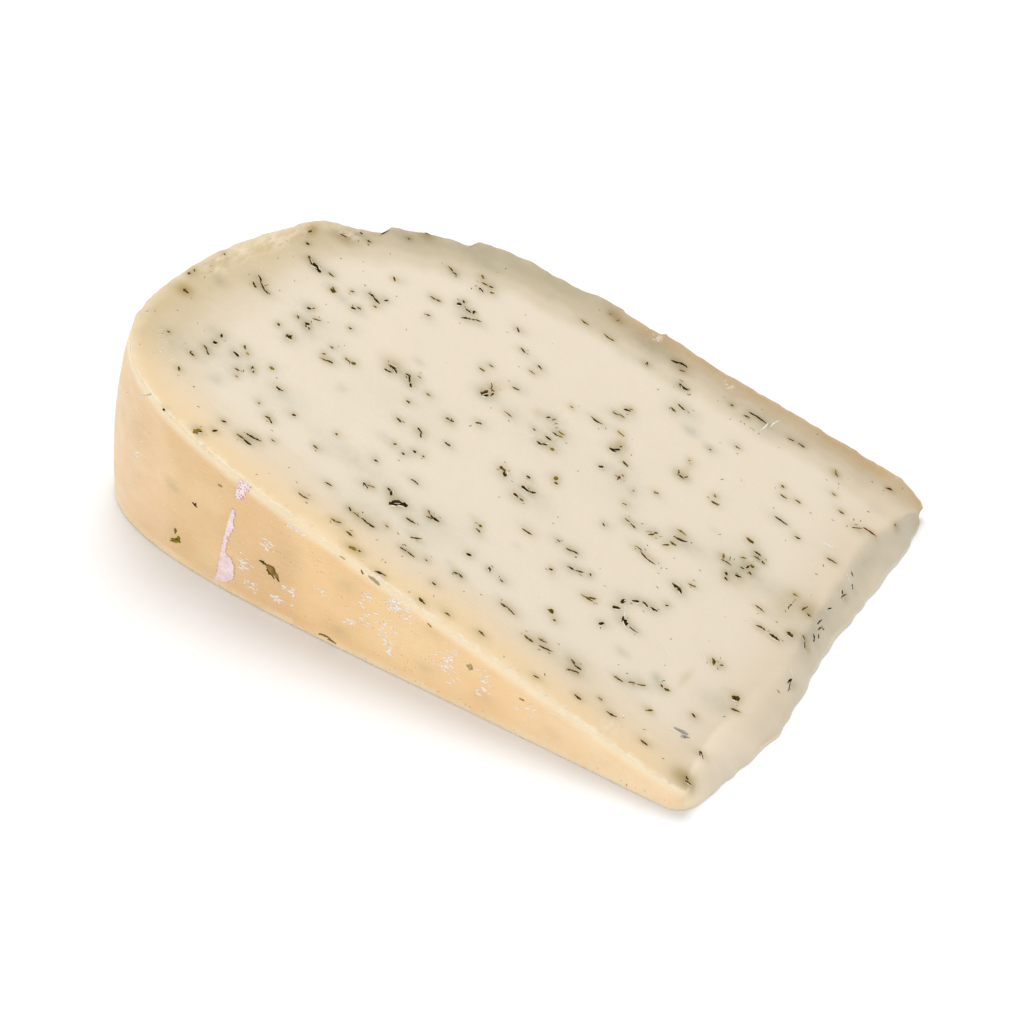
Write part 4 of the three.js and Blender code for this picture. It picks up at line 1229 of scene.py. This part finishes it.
# Painted light: the foot of the rind is painted paler, as if lit from below by the white card.
foot_bounce_light = times(tree, span(tree, axes["Z"], 3.4, 0.8), span(tree, clouds, 0.2, 0.8, 1.0, 0.4))
colour = glaze(tree, colour, foot_bounce_light, 0.75, paint(254, 233, 192))
at_brow = times(tree, span(tree, value_of(tree, "to_edge"), 4.0, 0.8), span(tree, axes["Z"], 4.0, 8.0))
colour = glaze(tree, colour, at_brow, 0.8, paint(252, 234, 199))
foot_dots = times(tree, use(tree, specks, Cell=1.1, Radius=0.24, Share=0.5), span(tree, axes["Z"], 3.0, 1.5))
colour = glaze(tree, colour, foot_dots, 0.7, paint(120, 88, 52))
crumbly = span(tree, use(tree, mottle, Size=0.9, Contrast=3.6), 0.2, 0.6)
scraped = times(tree, use(tree, wear, Reach=1.5, Raggedness=1.4), span(tree, crumbly, 0.0, 1.0, 0.45, 1.0))
scraped = times(tree, scraped, span(tree, use(tree, mottle, Size=5.0, Contrast=3.0), 0.2, 0.7, 0.35, 1.0))
scraped = calc(tree, "MAXIMUM", scraped, times(tree, value_of(tree, "scuffed"), crumbly))
colour = glaze(tree, colour, scraped, 0.8, paint(247, 229, 196))
threads = use(tree, cloth, Pitch=0.74, Waver=2.4)
pressed = times(tree, span(tree, threads, 0.2, 0.85), span(tree, axes["X"], 40.0, -50.0, 0.35, 1.0))
colour = stain(tree, pressed, colour, (0.955, 0.92, 0.87, 1.0))
tree.links.new(colour, shader.inputs["Base Color"])
gloss = span(tree, use(tree, mottle, Size=4.0, Contrast=2.4), 0.0, 1.0, 0.42, 0.62)
tree.links.new(gloss, shader.inputs["Roughness"])
curd = use(tree, grain, Size=0.7, Roughness=0.7)
height = calc(tree, "ADD", times(tree, curd, 0.55), times(tree, threads, 0.6))
relief(tree, shader, height, 0.18)
print(rind.name, "has", len(tree.nodes), "nodes")

wedge.data.materials.append(paste)
wedge.data.materials.append(rind)
wedge.data.polygons.foreach_set("material_index", is_rind_face.astype(np.int32))

# %% [markdown]
# ## Herbs, fresh paste, wax and wrapper
# The slivers carry their own paint, from black-brown leaf to straw, and add a fine grain. The
# lips are paste that was torn, rougher and whiter than the cut; part of that whiteness is a painted
# highlight. The wax is smooth and almost white. The wrapper is matt tissue with a blush of red
# dots where its print came off.

# %% The four small materials
leaf, tree, shader = surface("dried_herb", 0.62)
shader.inputs["Specular IOR Level"].default_value = 0.05
tint = add(tree, "ShaderNodeAttribute", attribute_name="herb_tint").outputs["Color"]
patchy = use(tree, mottle, Size=0.5, Contrast=2.2)
colour = blend(tree, times(tree, patchy, 0.2), tint, paint(100, 80, 10))
tree.links.new(colour, shader.inputs["Base Color"])
relief(tree, shader, use(tree, grain, Size=0.25, Roughness=0.8), 0.05)
herbs.data.materials.append(leaf)

# The lips' paint is whiter than the cut: torn paste, and partly a painted highlight along each lip.
fresh, tree, shader = surface("fresh_paste_and_highlight", 0.6, subsurface=0.1, reach_mm=1.0)
patchy = use(tree, mottle, Size=0.9, Contrast=2.0)
tree.links.new(blend(tree, patchy, paint(238, 226, 204), paint(250, 243, 230)), shader.inputs["Base Color"])
relief(tree, shader, use(tree, grain, Size=0.3, Roughness=0.8), 0.05)
lips.data.materials.append(fresh)

coat, tree, shader = surface("white_wax", 0.42)
patchy = use(tree, mottle, Size=0.8, Contrast=2.4)
tree.links.new(blend(tree, patchy, paint(248, 236, 230), paint(254, 252, 250)), shader.inputs["Base Color"])
relief(tree, shader, use(tree, grain, Size=0.3, Roughness=0.6), 0.03)
wax.data.materials.append(coat)

tissue, tree, shader = surface("wrapper_tissue", 0.75)
patchy = use(tree, mottle, Size=2.0, Contrast=2.6)
colour = blend(tree, patchy, paint(250, 232, 232), paint(238, 212, 214))
axes = add(tree, "ShaderNodeSeparateXYZ", {0: place_mm(tree)}).outputs
printed = span(tree, axes["Z"], 27.0, 31.0, 0.3, 0.95)
dots = times(tree, use(tree, specks, Cell=0.5, Radius=0.24, Share=0.75), printed)
colour = blend(tree, dots, colour, paint(178, 112, 92))
tree.links.new(colour, shader.inputs["Base Color"])
relief(tree, shader, use(tree, grain, Size=0.4, Roughness=0.9), 0.06)
scrap.data.materials.append(tissue)
print("materials:", [m.name for m in bpy.data.materials])

# %% [markdown]
# ## Table and light
# The wedge lies on plain white card in a light tent. The world is one even white, so that shadows
# only gather where the wedge touches the card, and one large lamp overhead, a little behind, gives
# the herbs and the crumbs a soft edge of light. A weaker one stands low in front of the rind, so
# that the front rind isn't left in the shade.

# %% White card, even sky, two soft lamps
card = bpy.data.meshes.new("white_card")
card.from_pydata([(-2.0, -2.0, 0.0), (2.0, -2.0, 0.0), (2.0, 2.0, 0.0), (-2.0, 2.0, 0.0)], [], [(0, 1, 2, 3)])
floor = bpy.data.objects.new("white_card", card)
bpy.context.collection.objects.link(floor)
card_paper, tree, shader = surface("card_paper", 0.9)
tone = use(tree, mottle, Size=60.0, Contrast=1.0)
tree.links.new(blend(tree, tone, paint(250, 251, 253), paint(252, 253, 255)), shader.inputs["Base Color"])
shader.inputs["Specular IOR Level"].default_value = 0.1
card.materials.append(card_paper)

sky = bpy.data.worlds.new("light_tent")
sky.use_nodes = True
sky.node_tree.nodes["Background"].inputs["Color"].default_value = (1.0, 1.0, 1.0, 1.0)
sky.node_tree.nodes["Background"].inputs["Strength"].default_value = 0.70
bpy.context.scene.world = sky


def soft_light(name, spot, size, watts):
    """A round sheet of light that faces the wedge."""
    lamp = bpy.data.lights.new(name, "AREA")
    lamp.shape = "DISK"
    lamp.size = size
    lamp.energy = watts
    holder = bpy.data.objects.new(name, lamp)
    spot = Vector(spot)
    holder.matrix_world = Matrix.Translation(spot) @ spot.to_track_quat("Z", "Y").to_matrix().to_4x4()
    bpy.context.collection.objects.link(holder)
    return holder


soft_lamp = soft_light("soft_lamp", (-0.14, 0.30, 1.2), 0.6, 6.4)
soft_light("low_fill", (-0.45, -1.10, 0.25), 0.7, 2.4)

bpy.context.scene.view_settings.view_transform = "Standard"
print("lamp stands", round(soft_lamp.matrix_world.translation.length, 2), "m away")
